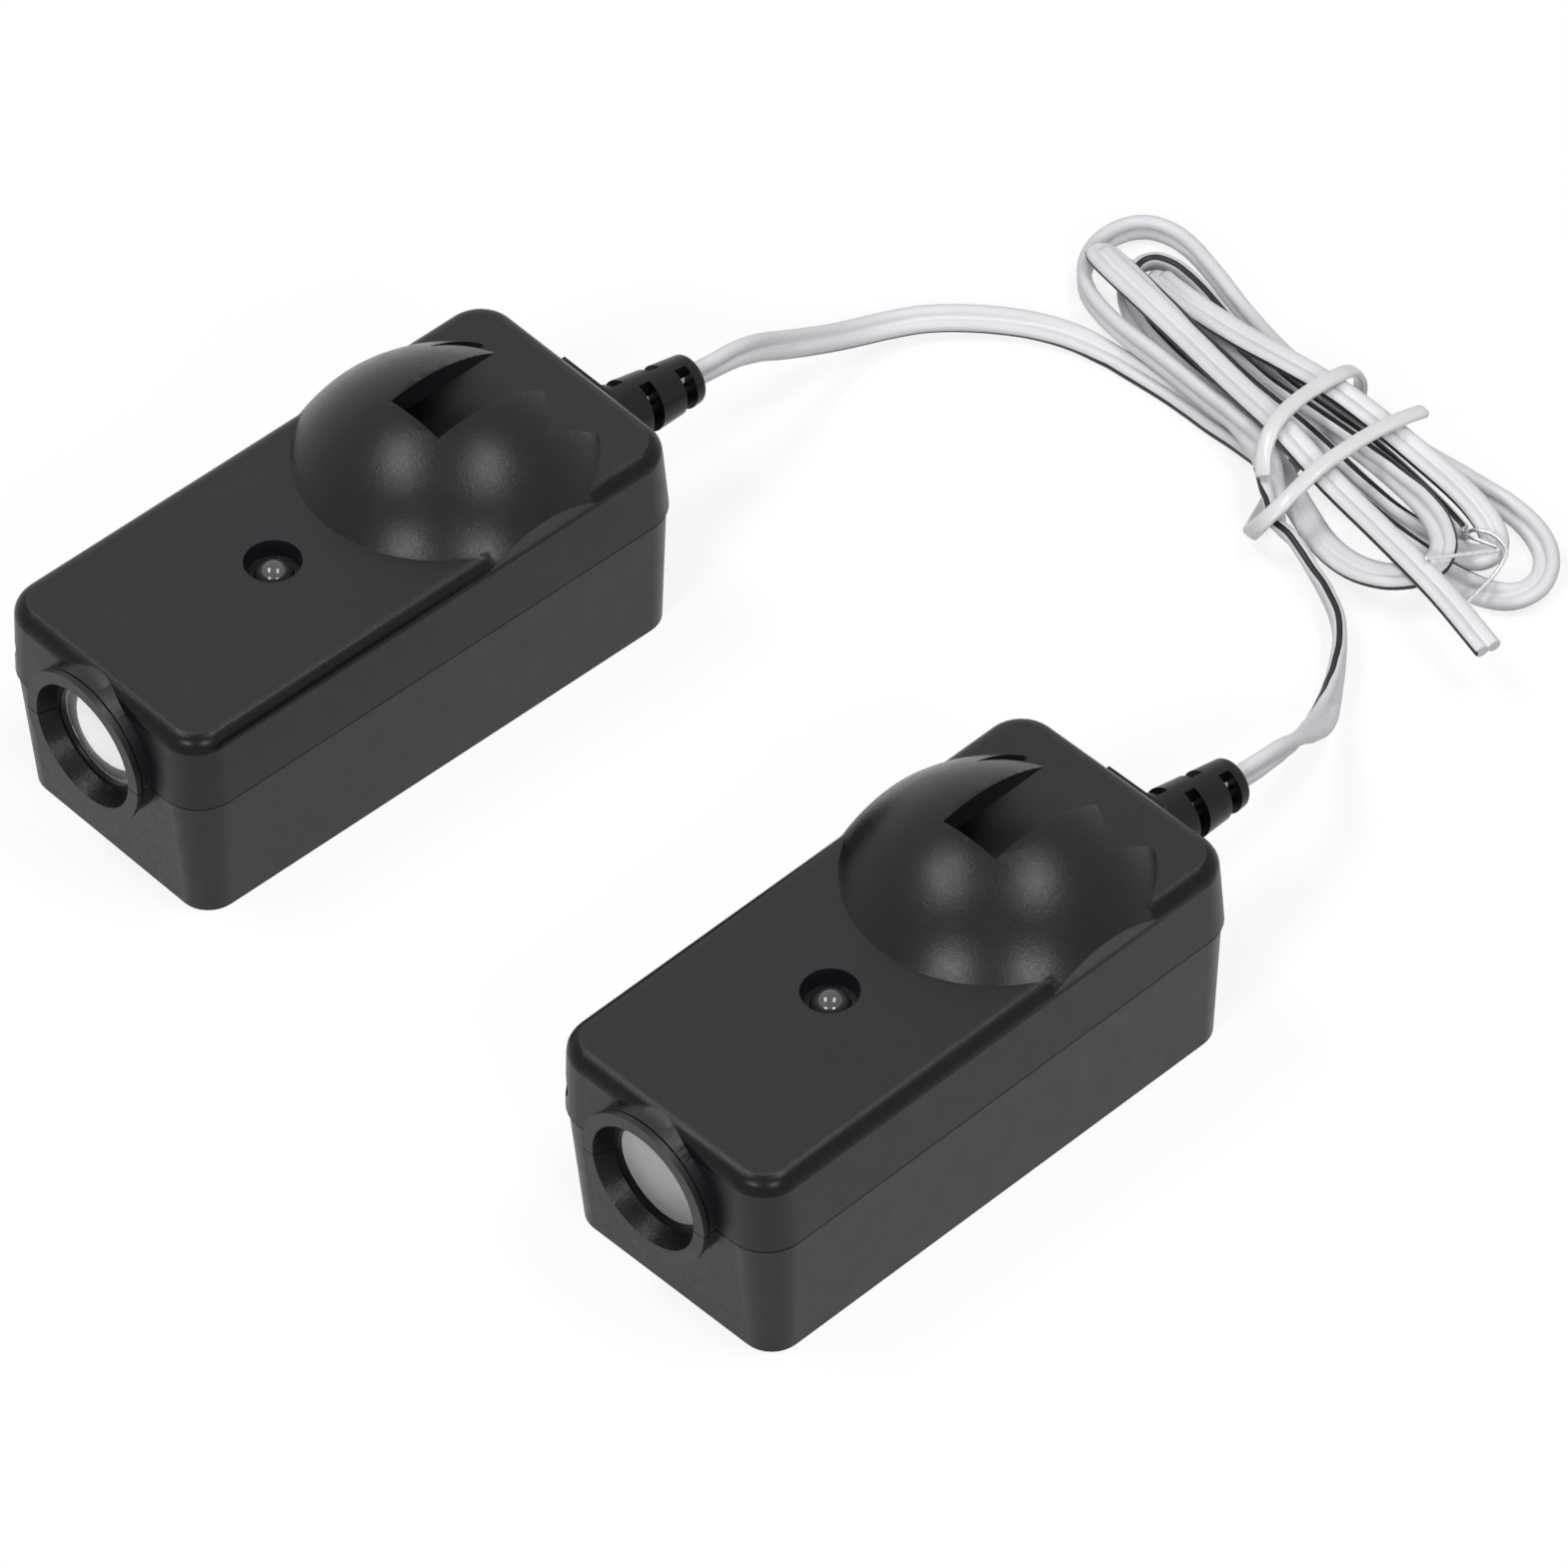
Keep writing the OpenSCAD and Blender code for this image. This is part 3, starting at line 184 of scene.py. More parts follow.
finishes = {
    "satinBlack": {
        "slot": "housing_plastic", "colour": (0.0036, 0.004, 0.0062),
        "drift": (0.0055, 0.0058, 0.0082), "patch": 9 * mm, "rough": (0.37, 0.43),
        "grain": 0.2 * mm, "bump": 0.35, "shader": {"Specular IOR Level": 0.34},
        "dust": {"cell": 6 * mm, "size": 0.09 * mm, "share": 0.12, "colour": (0.3, 0.3, 0.31)},
    },
    # smoother than the flat top, and also a darker, less reflective copy of the same plastic:
    # painted shade standing in for the dark reflections on the dome
    "domeSmoothWithPaintedShade": {
        "slot": "housing_plastic", "colour": (0.0016, 0.0018, 0.0026),
        "drift": (0.0024, 0.0026, 0.0036), "patch": 7 * mm, "rough": (0.25, 0.3),
        "grain": 0.22 * mm, "bump": 0.55, "shader": {"Specular IOR Level": 0.27},
        "dust": {"cell": 5 * mm, "size": 0.09 * mm, "share": 0.15, "colour": (0.3, 0.3, 0.31)},
    },
    # painted shade: a darker, less reflective copy of the housing plastic that paints the dark
    # band along the cover's rounded edges
    "edgePaintedShade": {
        "slot": "housing_plastic", "colour": (0.0024, 0.0027, 0.004),
        "drift": (0.0036, 0.0039, 0.0055), "patch": 7 * mm, "rough": (0.26, 0.31),
        "grain": 0.24 * mm, "bump": 0.3, "shader": {"Specular IOR Level": 0.17},
    },
    # painted shade: a darker, less reflective copy of the housing plastic for the inside of the
    # lens mouth
    "mouthPaintedShade": {
        "slot": "housing_plastic", "colour": (0.0024, 0.0026, 0.0036),
        "drift": (0.004, 0.0042, 0.0055), "patch": 3 * mm, "rough": (0.3, 0.38),
        "grain": 0.35 * mm, "bump": 0.5, "shader": {"Specular IOR Level": 0.2},
        "dust": {"cell": 1.6 * mm, "size": 0.07 * mm, "share": 0.25, "colour": (0.35, 0.35, 0.36)},
    },
    # painted shadow: near black with no reflection, for the shadow line under the cover's lip at
    # the seam, the walls of the catch window and the prong's end in it
    "paintedShadowBlack": {
        "slot": "housing_plastic", "colour": (0.001, 0.001, 0.0012),
        "drift": (0.002, 0.002, 0.0024), "patch": 3 * mm, "rough": (0.7, 0.8),
        "grain": 0.3 * mm, "bump": 0.2, "shader": {"Specular IOR Level": 0.0},
    },
    "reliefBlack": {
        "slot": "relief_rubber", "colour": (0.004, 0.004, 0.0045),
        "drift": (0.006, 0.006, 0.0065), "patch": 4 * mm, "rough": (0.24, 0.32),
        "grain": 0.3 * mm, "bump": 0.18, "shader": {"Specular IOR Level": 0.2},
        "dust": {"cell": 2.6 * mm, "size": 0.08 * mm, "share": 0.2, "colour": (0.45, 0.45, 0.46)},
    },
    # painted reflection: the clear lens is given a white colour and a partly mirror finish,
    # standing in for the bright surroundings seen in and through it
    "clearLensPaintedWhite": {
        "slot": "lens_clear", "colour": (0.93, 0.93, 0.95), "drift": (0.97, 0.97, 0.98),
        "patch": 5 * mm, "rough": (0.09, 0.14), "grain": 3 * mm, "bump": 0.03,
        "shader": {"Metallic": 0.62, "IOR": 1.49, "Coat Weight": 0.8, "Coat Roughness": 0.03},
    },
    # painted reflection: the clear lens's rim is given a milky white colour, standing in for the
    # light seen through it
    "lensRim": {
        "slot": "lens_clear", "colour": (0.9, 0.9, 0.92), "drift": (0.97, 0.97, 0.98),
        "patch": 2 * mm, "rough": (0.2, 0.3), "grain": 2 * mm, "bump": 0.05,
        "shader": {"IOR": 1.49, "Coat Weight": 0.5, "Coat Roughness": 0.04},
    },
    "lensGrey": {
        "slot": "lens_grey", "colour": (0.8, 0.8, 0.825), "drift": (0.72, 0.72, 0.74),
        "patch": 9 * mm, "rough": (0.42, 0.5), "grain": 2 * mm, "bump": 0.05,
        "shader": {"Specular IOR Level": 0.12},
        # painted shade: the lens is painted darker towards its bottom
        "fade": {"axis": 2, "from": 23 * mm, "to": 14 * mm, "colour": (0.34, 0.34, 0.352)},
    },
    "lampClear": {
        "slot": "lamp_clear", "colour": (0.05, 0.05, 0.053), "drift": (0.08, 0.08, 0.084),
        "patch": 2 * mm, "rough": (0.12, 0.2), "grain": 1 * mm, "bump": 0.05,
        "shader": {"Transmission Weight": 0.35, "IOR": 1.5, "Coat Weight": 0.5,
                   "Coat Roughness": 0.05},
    },
    "emitterEpoxy": {
        "slot": "emitter_epoxy", "colour": (0.3, 0.36, 0.5), "drift": (0.34, 0.4, 0.55),
        "patch": 2 * mm, "rough": (0.06, 0.12), "grain": 1 * mm, "bump": 0.04,
        "shader": {"Transmission Weight": 0.5, "IOR": 1.5},
    },
    "detectorEpoxy": {
        "slot": "detector_epoxy", "colour": (0.012, 0.008, 0.014), "drift": (0.02, 0.012, 0.022),
        "patch": 2 * mm, "rough": (0.08, 0.14), "grain": 1 * mm, "bump": 0.04,
        "shader": {"Coat Weight": 0.4, "Coat Roughness": 0.05},
    },
    "boardGreen": {
        "slot": "board_green", "colour": (0.012, 0.13, 0.05), "drift": (0.018, 0.17, 0.07),
        "patch": 6 * mm, "rough": (0.3, 0.42), "grain": 0.35 * mm, "bump": 0.12,
        "shader": {"Coat Weight": 0.25, "Coat Roughness": 0.2},
    },
    "chipBlack": {
        "slot": "chip_black", "colour": (0.014, 0.014, 0.015), "drift": (0.022, 0.022, 0.023),
        "patch": 1.5 * mm, "rough": (0.5, 0.62), "grain": 0.12 * mm, "bump": 0.3,
    },
    "sleeveBlue": {
        "slot": "capacitor_sleeve", "colour": (0.012, 0.022, 0.085), "drift": (0.018, 0.03, 0.11),
        "patch": 2 * mm, "rough": (0.25, 0.34), "grain": 0.5 * mm, "bump": 0.08,
        "shader": {"Coat Weight": 0.3, "Coat Roughness": 0.15},
    },
    "canAluminium": {
        "slot": "capacitor_sleeve", "colour": (0.6, 0.6, 0.61), "drift": (0.68, 0.68, 0.69),
        "patch": 1 * mm, "rough": (0.3, 0.42), "grain": 0.3 * mm, "bump": 0.1,
        "shader": {"Metallic": 1.0},
    },
    "resistorBeige": {
        "slot": "resistor_body", "colour": (0.52, 0.38, 0.2), "drift": (0.58, 0.44, 0.25),
        "patch": 1.5 * mm, "rough": (0.4, 0.5), "grain": 0.2 * mm, "bump": 0.12,
    },
    "holderBlack": {
        "slot": "holder_black", "colour": (0.012, 0.012, 0.013), "drift": (0.018, 0.018, 0.019),
        "patch": 3 * mm, "rough": (0.45, 0.55), "grain": 0.2 * mm, "bump": 0.2,
    },
    "shieldTin": {
        "slot": "shield_tin", "colour": (0.55, 0.56, 0.58), "drift": (0.66, 0.67, 0.69),
        "patch": 2 * mm, "rough": (0.24, 0.4), "grain": 0.25 * mm, "bump": 0.1,
        "shader": {"Metallic": 1.0},
    },
    "tinnedWire": {
        "slot": "bare_wire", "colour": (0.62, 0.62, 0.63), "drift": (0.74, 0.74, 0.75),
        "patch": 0.8 * mm, "rough": (0.16, 0.3), "grain": 0.2 * mm, "bump": 0.12,
        "shader": {"Metallic": 1.0},
    },
    "whiteInsulation": {
        "slot": "core_insulation", "colour": (0.725, 0.72, 0.76), "drift": (0.785, 0.78, 0.81),
        "patch": 14 * mm, "rough": (0.3, 0.4), "grain": 0.45 * mm, "bump": 0.07,
        "shader": {"Specular IOR Level": 0.35, "Subsurface Weight": 0.05,
                   "Subsurface Scale": 0.4 * mm},
    },
    "stripeBlack": {
        "slot": "core_insulation", "colour": (0.008, 0.007, 0.009), "drift": (0.018, 0.016, 0.02),
        "patch": 3 * mm, "rough": (0.34, 0.46), "grain": 0.3 * mm, "bump": 0.1,
        "shader": {"Specular IOR Level": 0.3},
    },
    "milkyTie": {
        "slot": "tie_plastic", "colour": (0.82, 0.82, 0.835), "drift": (0.88, 0.88, 0.89),
        "patch": 6 * mm, "rough": (0.16, 0.26), "grain": 0.8 * mm, "bump": 0.06,
        "shader": {"Subsurface Weight": 0.3, "Subsurface Scale": 0.8 * mm,
                   "Transmission Weight": 0.12, "IOR": 1.46},
    },
}
materials = {name: makeFinish(name, look) for name, look in finishes.items()}
print("finishes made:", len(materials))


def pieceFrom(name, mesh, finishNames, parts):
    piece = bpy.data.objects.new(name, mesh)
    bpy.context.scene.collection.objects.link(piece)
    for finishName in finishNames:
        mesh.materials.append(materials[finishName])
    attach(piece, "root")
    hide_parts(*parts)
    return piece


# Bell wire: routes repeat the points of the part, in its millimetres

wire = {
    "coreRadius": 0.95, "stripeReach": 26, "samplesPerSpan": 4, "endRound": 0.1,
    "pointAngle": 25, "pointsPerCore": 13, "coreStarts": (-150, 30),    # angles in degrees
    "mouth": Vector((0, 58.4689, 16.9551)), "reliefDroop": math.radians(7),
    "straightRadii": 4,
}
strands = {
    "radius": 0.28, "sides": 14, "samplesPerSpan": 6, "endRound": 0.08,
    "inside": 0.6, "outOfCore": Vector((0.9, 0, 0.1)),
}
tieBand = {
    "width": 2.3, "thickness": 1.1, "sides": 20, "samplesPerSpan": 6, "endRound": 0.3,
    "wideCurve": 0.7, "deepCurve": 0.8, "clearance": 0.3,
}
endShare = 0.82     # of its section that a swept piece keeps at its rounded ends
hankPlace = {"at": Vector((-45.5, 118.9, 0)), "yaw": math.radians(-3.8),
             "liftReach": 9, "liftPower": 4}

# Passes over the middle of the hank: across, height, slope, climb, roll
passes = {
    1: (-8.5, 4.8, -0.2, 0, 0), 2: (-3.15, 1.95, 0, 0, 180), 3: (-5.9, 7.9, -0.12, 0, 90),
    4: (1.7, 3.4, 0, 0.1, 180), 5: (-1, 3, 0, -0.08, 180), 6: (-6.7, 1.2, -0.3, 0, 75),
    7: (3.9, 1.95, 0.04, 0, 180), 8: (4.6, 7, 0.06, 0, 90), 9: (7.5, 1.95, 0.06, 0, 0),
}
bendSteps = 12

# Each route: the free run in the receiver's axes, then the loops in the hank's axes.
# A loop entry is either a point with its roll or a bend: side, tip, swells, passes, steps
senderRoute = {
    "run": [(-100.9, 69, 15.4, 8), (-101.3, 73.5, 13.2, 18), (-101.5, 78, 10.4, 30),
            (-101.5, 82.3, 8, 40), (-101.4, 86.6, 5.8, 48), (-101, 90.7, 4.2, 52),
            (-99.9, 95, 3.2, 55), (-97.9, 99.2, 2.7, 56), (-94.8, 103, 2.4, 58),
            (-91, 106.5, 2.1, 60), (-86.7, 109.4, 1.9, 64), (-82, 111.5, 1.6, 72),
            (-78, 112.5, 1.2, 84)],
    "loops": [(-28, -7.7, 0.96, 90), (-21, -6.8, 0.96, 90), (-16, -6.5, 0.96, 90),
              (-12, -6.5, 0.96, 90), (-8, -6.5, 0.96, 90), (-4, -6.6, 1.05, 85),
              (1, (30.1, -6.5, 6.5, 90), (1.25, 1.8), (6, 4), (0, 11)),
              (-1, (35.2, 4.2, 3.6, 90), (-1.5, -1.7), (4, 8), (0, 11)),
              (1, (30.6, 3.2, 2.9, 90), (1.3, 1.2), (8, 5), (0, 11)),
              (-1, (41.5, -0.55, 7, 90), (-0.5, 0.5), (5, 3), (0, 12)),
              (2.6, -6.2, 7.9, 90), (12, -7.3, 8.2, 90), (24, -8.6, 8.6, 90),
              (36, -10.1, 8.6, 90), (46.8, -11.9, 8, 90)],
    "length": 0.433,
}
# Where the receiver's wire enters the hank, entryRolls stand in for the rolls of the points
receiverRoute = {
    "run": [(-0.7, 67, 15.3, -8), (-1.8, 71, 13.3, -30), (-3.6, 75.3, 10.3, -65),
            (-5.6, 79.2, 7.6, -100), (-8, 83, 5.3, -130), (-10.6, 86.7, 3.9, -155),
            (-13.3, 90.3, 3.3, -172), (-16.2, 93.9, 3.2, -180), (-19.6, 97.2, 3.1, -178),
            (-24, 99.8, 3.1, -170), (-28.6, 101.6, 3.4, -160), (-33.4, 103.2, 4.2, -152)],
    "entryRolls": (-150, -150, -110, -50, 0),
    "loops": [(8, -13.8, 4.2, -30), (4, -11, 4.6, -10), (0, -8.7, 4.8, 0), (-8, -7, 4.7, 0),
              (-1, (46.6, 5.8, 2.45, 0), (2.1, 1.1), (1, 9), (1, 11)),
              (1, (38.2, 3.2, 1.87, 90), (2.3, 0.9), (9, 2), (0, 11)),
              (-1, (40.4, 5.2, 1.87, 150), (2.3, 2.3), (2, 7), (0, 12)),
              (6, 4.3, 2, 180), (12, 4.5, 2.1, 180), (18, 4.1, 2.2, 180), (22, 3.6, 2.3, 180),
              (25.2, 3.1, 2.3, 180)],
    "length": 0.376,
}
bareWires = {
    "long": [(26.8, 2.6, 3), (28.1, 1.9, 4.8), (31, 2.8, 5), (32.4, 2.8, 5.2), (32.3, 1.6, 5.6),
             (31.2, -8.7, 10.3)],
    "short": [(27.4, 3.2, 4.7), (29.6, 4, 5.2), (31.9, 4, 5.2), (33.6, 3.1, 5), (35, -0.6, 4.4),
              (36.2, -6.9, 4.1)],
}
tieRoute = [
    (9.7, 10.1, 8.6), (9.6, 6.6, 9.5), (9.6, 3, 10.1), (9.7, -1, 10.5), (10, -4.6, 10.8),
    (10.3, -8.2, 10.9), (10.6, -11.6, 10.2), (10.6, -15, 8.9), (9.8, -17.4, 6.8),
    (8.3, -18, 4.2), (6.4, -16.4, 2), (3.8, -12.2, 0.7), (0.8, -6, 0.6), (-1, 0, 0.6),
    (-2, 5, 0.6), (-2.6, 8.5, 0.62), (-2.9, 10.1, 1.6), (-2.9, 10.6, 3.6), (-2.5, 10, 6),
    (-1.9, 8.3, 8.6), (-1.4, 5.2, 10.1), (-1.1, 1.2, 10.7), (-0.4, -3.4, 11.2), (0.8, -7.6, 11.1),
    (2.6, -10.8, 9.7), (4.4, -12.6, 8.2),
]


def mixEnds(one, two, swing):
    return one * (1 + swing) / 2 + two * (1 - swing) / 2


# A loop from one pass to the next: swing goes from 1 to -1, and out is 1 at the tip
def bendPoints(side, tip, swells, ends, steps):
    first, second = passes[ends[0]], passes[ends[1]]
    points = []
    for k in range(steps[0], steps[1] + 1):
        swing = math.cos(math.pi * k / bendSteps)
        out = math.sin(math.pi * k / bendSteps)
        fade = 1 - out * out
        along = side * tip[0] * out
        across = ((first[0] + second[0]) / 2
                  - (second[0] - first[0]) / 2 * swing
                  * (1 + mixEnds(*swells, swing) * out * out)
                  + (tip[1] - (first[0] + second[0]) / 2) * out * out
                  + along * mixEnds(first[2], second[2], swing) * fade)
        height = (mixEnds(first[1], second[1], swing)
                  + (tip[2] - (first[1] + second[1]) / 2) * out * out
                  + along * mixEnds(first[3], second[3], swing) * fade)
        roll = (mixEnds(first[4], second[4], swing)
                + (tip[3] - (first[4] + second[4]) / 2) * out * out)
        points.append((along, across, height, roll))
    return points


def fromHank(point):
    turn = Matrix.Rotation(hankPlace["yaw"], 3, "Z")
    return turn @ Vector(point[:3]) + hankPlace["at"]


def loopPoints(loops):
    flat = []
    for entry in loops:
        flat.extend(bendPoints(*entry) if len(entry) == 5 else [entry])
    lift = tieBand["thickness"] + tieBand["clearance"]     # room for the tie beneath
    reach, power = hankPlace["liftReach"], hankPlace["liftPower"]
    return [(p[0], p[1], p[2] + lift / (1 + (p[0] / reach) ** power), p[3]) for p in flat]


# Both wires leave straight out of the strain relief, which droops a little
def mouthPoints(name):
    house = housings[name]
    out = Vector((0, math.cos(wire["reliefDroop"]), -math.sin(wire["reliefDroop"])))
    turn = Matrix.Rotation(house["yaw"], 3, "Z")
    start = house["at"] / mm - housings["receiver"]["at"] / mm
    ahead = wire["mouth"] + out * wire["straightRadii"] * wire["coreRadius"]
    return [turn @ wire["mouth"] + start, turn @ ahead + start]


def wholeRoute(name, route):
    loops = loopPoints(route["loops"])
    places = mouthPoints(name)
    rolls = [0, 0]
    for point in route["run"]:
        places.append(Vector(point[:3]))
        rolls.append(point[3])
    inHank = [fromHank(p) for p in loops]
    step = (inHank[1] - inHank[0]).normalized() * 2 * wire["coreRadius"]
    places.append(inHank[0] - step)
    places.extend(inHank)
    entry = list(route.get("entryRolls", ()))
    own = [loops[0][3]] + [p[3] for p in loops]
    rolls.extend(entry + own[len(entry):])
    shift = housings["receiver"]["at"]
    return [p * mm + shift for p in places], [math.radians(r) for r in rolls]


# A smooth line through all points, with the rolls carried along
def smoothLine(places, rolls, samples):
    line, turned = [], []
    last = len(places) - 1
    for i in range(last):
        a, b = places[max(i - 1, 0)], places[i]
        c, d = places[i + 1], places[min(i + 2, last)]
        reach = (c - b).length
        leaving = (c - a).normalized() * reach if i > 0 else (c - b)
        arriving = (d - b).normalized() * reach if i + 1 < last else (c - b)
        for k in range(samples):
            t = k / samples
            line.append(b * (2 * t ** 3 - 3 * t ** 2 + 1) + leaving * (t ** 3 - 2 * t ** 2 + t)
                        + c * (3 * t ** 2 - 2 * t ** 3) + arriving * (t ** 3 - t ** 2))
            ease = t * t * (3 - 2 * t)
            turned.append(rolls[i] * (1 - ease) + rolls[i + 1] * ease)
    return line + [places[-1]], turned + [rolls[-1]]


def headingAt(line, i):
    return (line[min(i + 1, len(line) - 1)] - line[max(i - 1, 0)]).normalized()


def pairWide(line, rolls, i):
    heading = headingAt(line, i)
    left = Vector((0, 0, 1)).cross(heading).normalized()
    wide = left * math.sin(rolls[i]) + Vector((0, 0, 1)) * math.cos(rolls[i])
    return (wide - heading * wide.dot(heading)).normalized()


# Sweeps a closed section; faceKinds gives the finish of each side of the section
def sweep(name, line, wides, section, roundEnds, faceKinds=None):
    bm = bmesh.new()
    rings = []
    count = len(section)
    for i, spot in enumerate(line):
        heading = headingAt(line, i)
        wide = (wides[i] - heading * wides[i].dot(heading)).normalized()
        deep = heading.cross(wide)
        rings.append([bm.verts.new(spot + wide * s[0] + deep * s[1]) for s in section])
    for ring in rings:
        for corner in ring:
            corner.co.z = max(corner.co.z, 0.0)     # lies flat on the floor
    for ringA, ringB in zip(rings, rings[1:]):
        for j in range(count):
            k = (j + 1) % count
            face = bm.faces.new((ringA[j], ringB[j], ringB[k], ringA[k]))
            face.smooth = True
            face.material_index = faceKinds[j] if faceKinds else 0
    for ring, i, way in ((rings[0], 0, -1), (rings[-1], -1, 1)):
        tip = line[i] + headingAt(line, i % len(line)) * roundEnds * way
        inner = [bm.verts.new(tip + (v.co - line[i]) * endShare) for v in ring]
        for j in range(count):
            k = (j + 1) % count
            side = (ring[j], inner[j], inner[k], ring[k])
            face = bm.faces.new(side if way > 0 else tuple(reversed(side)))
            face.smooth = True
            face.material_index = faceKinds[j] if faceKinds else 0
        bm.faces.new(inner if way < 0 else list(reversed(inner)))
    bmesh.ops.recalc_face_normals(bm, faces=bm.faces)
    mesh = bpy.data.meshes.new(name)
    bm.to_mesh(mesh)
    bm.free()
    return mesh


# Figure-eight section of two cores; the printed stripe is on the outer edge of the second
def pairSection():
    r = wire["coreRadius"] * mm
    section, angles = [], []
    for side, first in zip((1, -1), wire["coreStarts"]):
        for k in range(wire["pointsPerCore"]):
            angle = first + wire["pointAngle"] * k
            section.append((side * r + r * math.cos(math.radians(angle)),
                            r * math.sin(math.radians(angle))))
            angles.append((side, angle))
    kinds = []
    for side, angle in angles:
        fromEdge = abs(angle + wire["pointAngle"] / 2 - 180)
        kinds.append(1 if side < 0 and fromEdge < wire["stripeReach"] else 0)
    return section, kinds


def circleSection(radius, sides):
    angles = [2 * math.pi * k / sides for k in range(sides)]
    return [(radius * math.cos(angle), radius * math.sin(angle)) for angle in angles]


def makeCable(name, route, parts):
    places, rolls = wholeRoute(name, route)
    line, turned = smoothLine(places, rolls, wire["samplesPerSpan"])
    wides = [pairWide(line, turned, i) for i in range(len(line))]
    section, kinds = pairSection()
    mesh = sweep(name + "Cable", line, wides, section, wire["endRound"] * mm, kinds)
    cable = pieceFrom(name + "Cable", mesh, ["whiteInsulation", "stripeBlack"], parts)
    return cable, line


# The two tinned conductors, and the tie round the hank
def makeBareWires():
    end = Vector(loopPoints(receiverRoute["loops"])[-1][:3])
    inside = Vector((strands["inside"], 0, 0))
    shift = housings["receiver"]["at"]
    bm = bmesh.new()
    for name, side in (("long", -1), ("short", 1)):
        core = end + Vector((0, 0, side * wire["coreRadius"]))
        points = [core - inside, core, core + strands["outOfCore"]]
        points += [Vector(p) for p in bareWires[name]]
        places = [fromHank(p) * mm + shift for p in points]
        line, _ = smoothLine(places, [0] * len(places), strands["samplesPerSpan"])
        strand = sweep("strand", line, [Vector((0, 0, 1))] * len(line),
                       circleSection(strands["radius"] * mm, strands["sides"]),
                       strands["endRound"] * mm)
        bm.from_mesh(strand)
        bpy.data.meshes.remove(strand)
    mesh = bpy.data.meshes.new("bareWires")
    bm.to_mesh(mesh)
    bm.free()
    return pieceFrom("bareWires", mesh, ["tinnedWire"], ["bare_wire_ends"])


def makeTie():
    shift = housings["receiver"]["at"]
    places = [fromHank(p) * mm + shift for p in tieRoute]
    line, _ = smoothLine(places, [0] * len(places), tieBand["samplesPerSpan"])
    along = Matrix.Rotation(hankPlace["yaw"], 3, "Z") @ Vector((1, 0, 0))
    halfWide, halfDeep = tieBand["width"] / 2 * mm, tieBand["thickness"] / 2 * mm
    section = []
    for wide, deep in circleSection(1, tieBand["sides"]):
        section.append((halfWide * math.copysign(abs(wide) ** tieBand["wideCurve"], wide),
                        halfDeep * math.copysign(abs(deep) ** tieBand["deepCurve"], deep)))
    mesh = sweep("hankTie", line, [along] * len(line), section, tieBand["endRound"] * mm)
    return pieceFrom("hankTie", mesh, ["milkyTie"], ["hank_tie"])


bareEnds = makeBareWires()
tie = makeTie()
senderCable, senderLine = makeCable(
    "sender", senderRoute, ["sender_cable_run", "sender_hank_loops"])
receiverCable, receiverLine = makeCable(
    "receiver", receiverRoute, ["receiver_cable_run", "receiver_hank_loops"])
print("cords made")


# Housings and what they hold: clean meshes over the solids, with softened edges

dressing = {
    "mergeWithin": 2e-6, "flatWithin": math.radians(0.6),
    "bevelOver": math.radians(35), "normalWeight": 100,
}


def turnToHouse(name, direction):
    return Matrix.Rotation(-housings[name]["yaw"], 3, "Z") @ direction


# choose gives a face's place in finishNames from its middle and its facing
def dressed(house, part, finishNames, choose=None, softEdge=0.12, segments=2, sharpAngle=32,
            cutHeight=None):
    nodeName = house + "_" + part
    bm = bmesh.new()
    bm.from_mesh(nodes[nodeName].data)
    bmesh.ops.remove_doubles(bm, verts=bm.verts, dist=dressing["mergeWithin"])
    bmesh.ops.dissolve_limit(bm, angle_limit=dressing["flatWithin"],
                             verts=bm.verts, edges=bm.edges)
    if cutHeight:
        bmesh.ops.bisect_plane(bm, geom=bm.verts[:] + bm.edges[:] + bm.faces[:],
                               plane_co=(0, 0, cutHeight), plane_no=(0, 0, 1))
    for face in bm.faces:
        face.smooth = True
        if choose:
            spot = turnToHouse(house, face.calc_center_median() - housings[house]["at"])
            face.material_index = choose(spot, turnToHouse(house, face.normal))
    name = house + "".join(word.capitalize() for word in part.split("_"))
    mesh = bpy.data.meshes.new(name)
    bm.to_mesh(mesh)
    bm.free()
    mesh.set_sharp_from_angle(angle=math.radians(sharpAngle))
    piece = pieceFrom(name, mesh, finishNames, [nodeName])
    if softEdge:
        bevel = piece.modifiers.new("softEdges", "BEVEL")
        bevel.width = softEdge * mm
        bevel.segments = segments
        bevel.limit_method = "ANGLE"
        bevel.angle_limit = dressing["bevelOver"]
    normals = piece.modifiers.new("flatFaces", "WEIGHTED_NORMAL")
    normals.mode = "FACE_AREA"
    normals.weight = dressing["normalWeight"]
    normals.keep_sharp = True


# Where one finish gives way to another, in the housing's own axes. A facing is a cosine
housingBorders = {
    "seamFacing": 0.7, "windowFacing": 0.5, "windowRadius": 1.78 * mm, "prongFoot": 0.5 * mm,
    "domeFacing": 0.985, "domeNear": 0.2 * mm, "recessNear": 0.1 * mm,
    "edgeNear": 0.05 * mm, "edgeFacing": (0.1, 0.9),
    "collarFacing": 0.5, "collarReach": 1.5 * mm, "mouthDepth": 6 * mm,
    "lensRim": 6.88 * mm, "lensFacing": 0.5,
}
windowAxis = Vector((-1, -1, 0)).normalized()
coverFinishes = {"flat": 0, "dome": 1, "edge": 2, "mouth": 3, "seam": 4}
shellFinishes = {"flat": 0, "mouth": 1, "prong": 2}


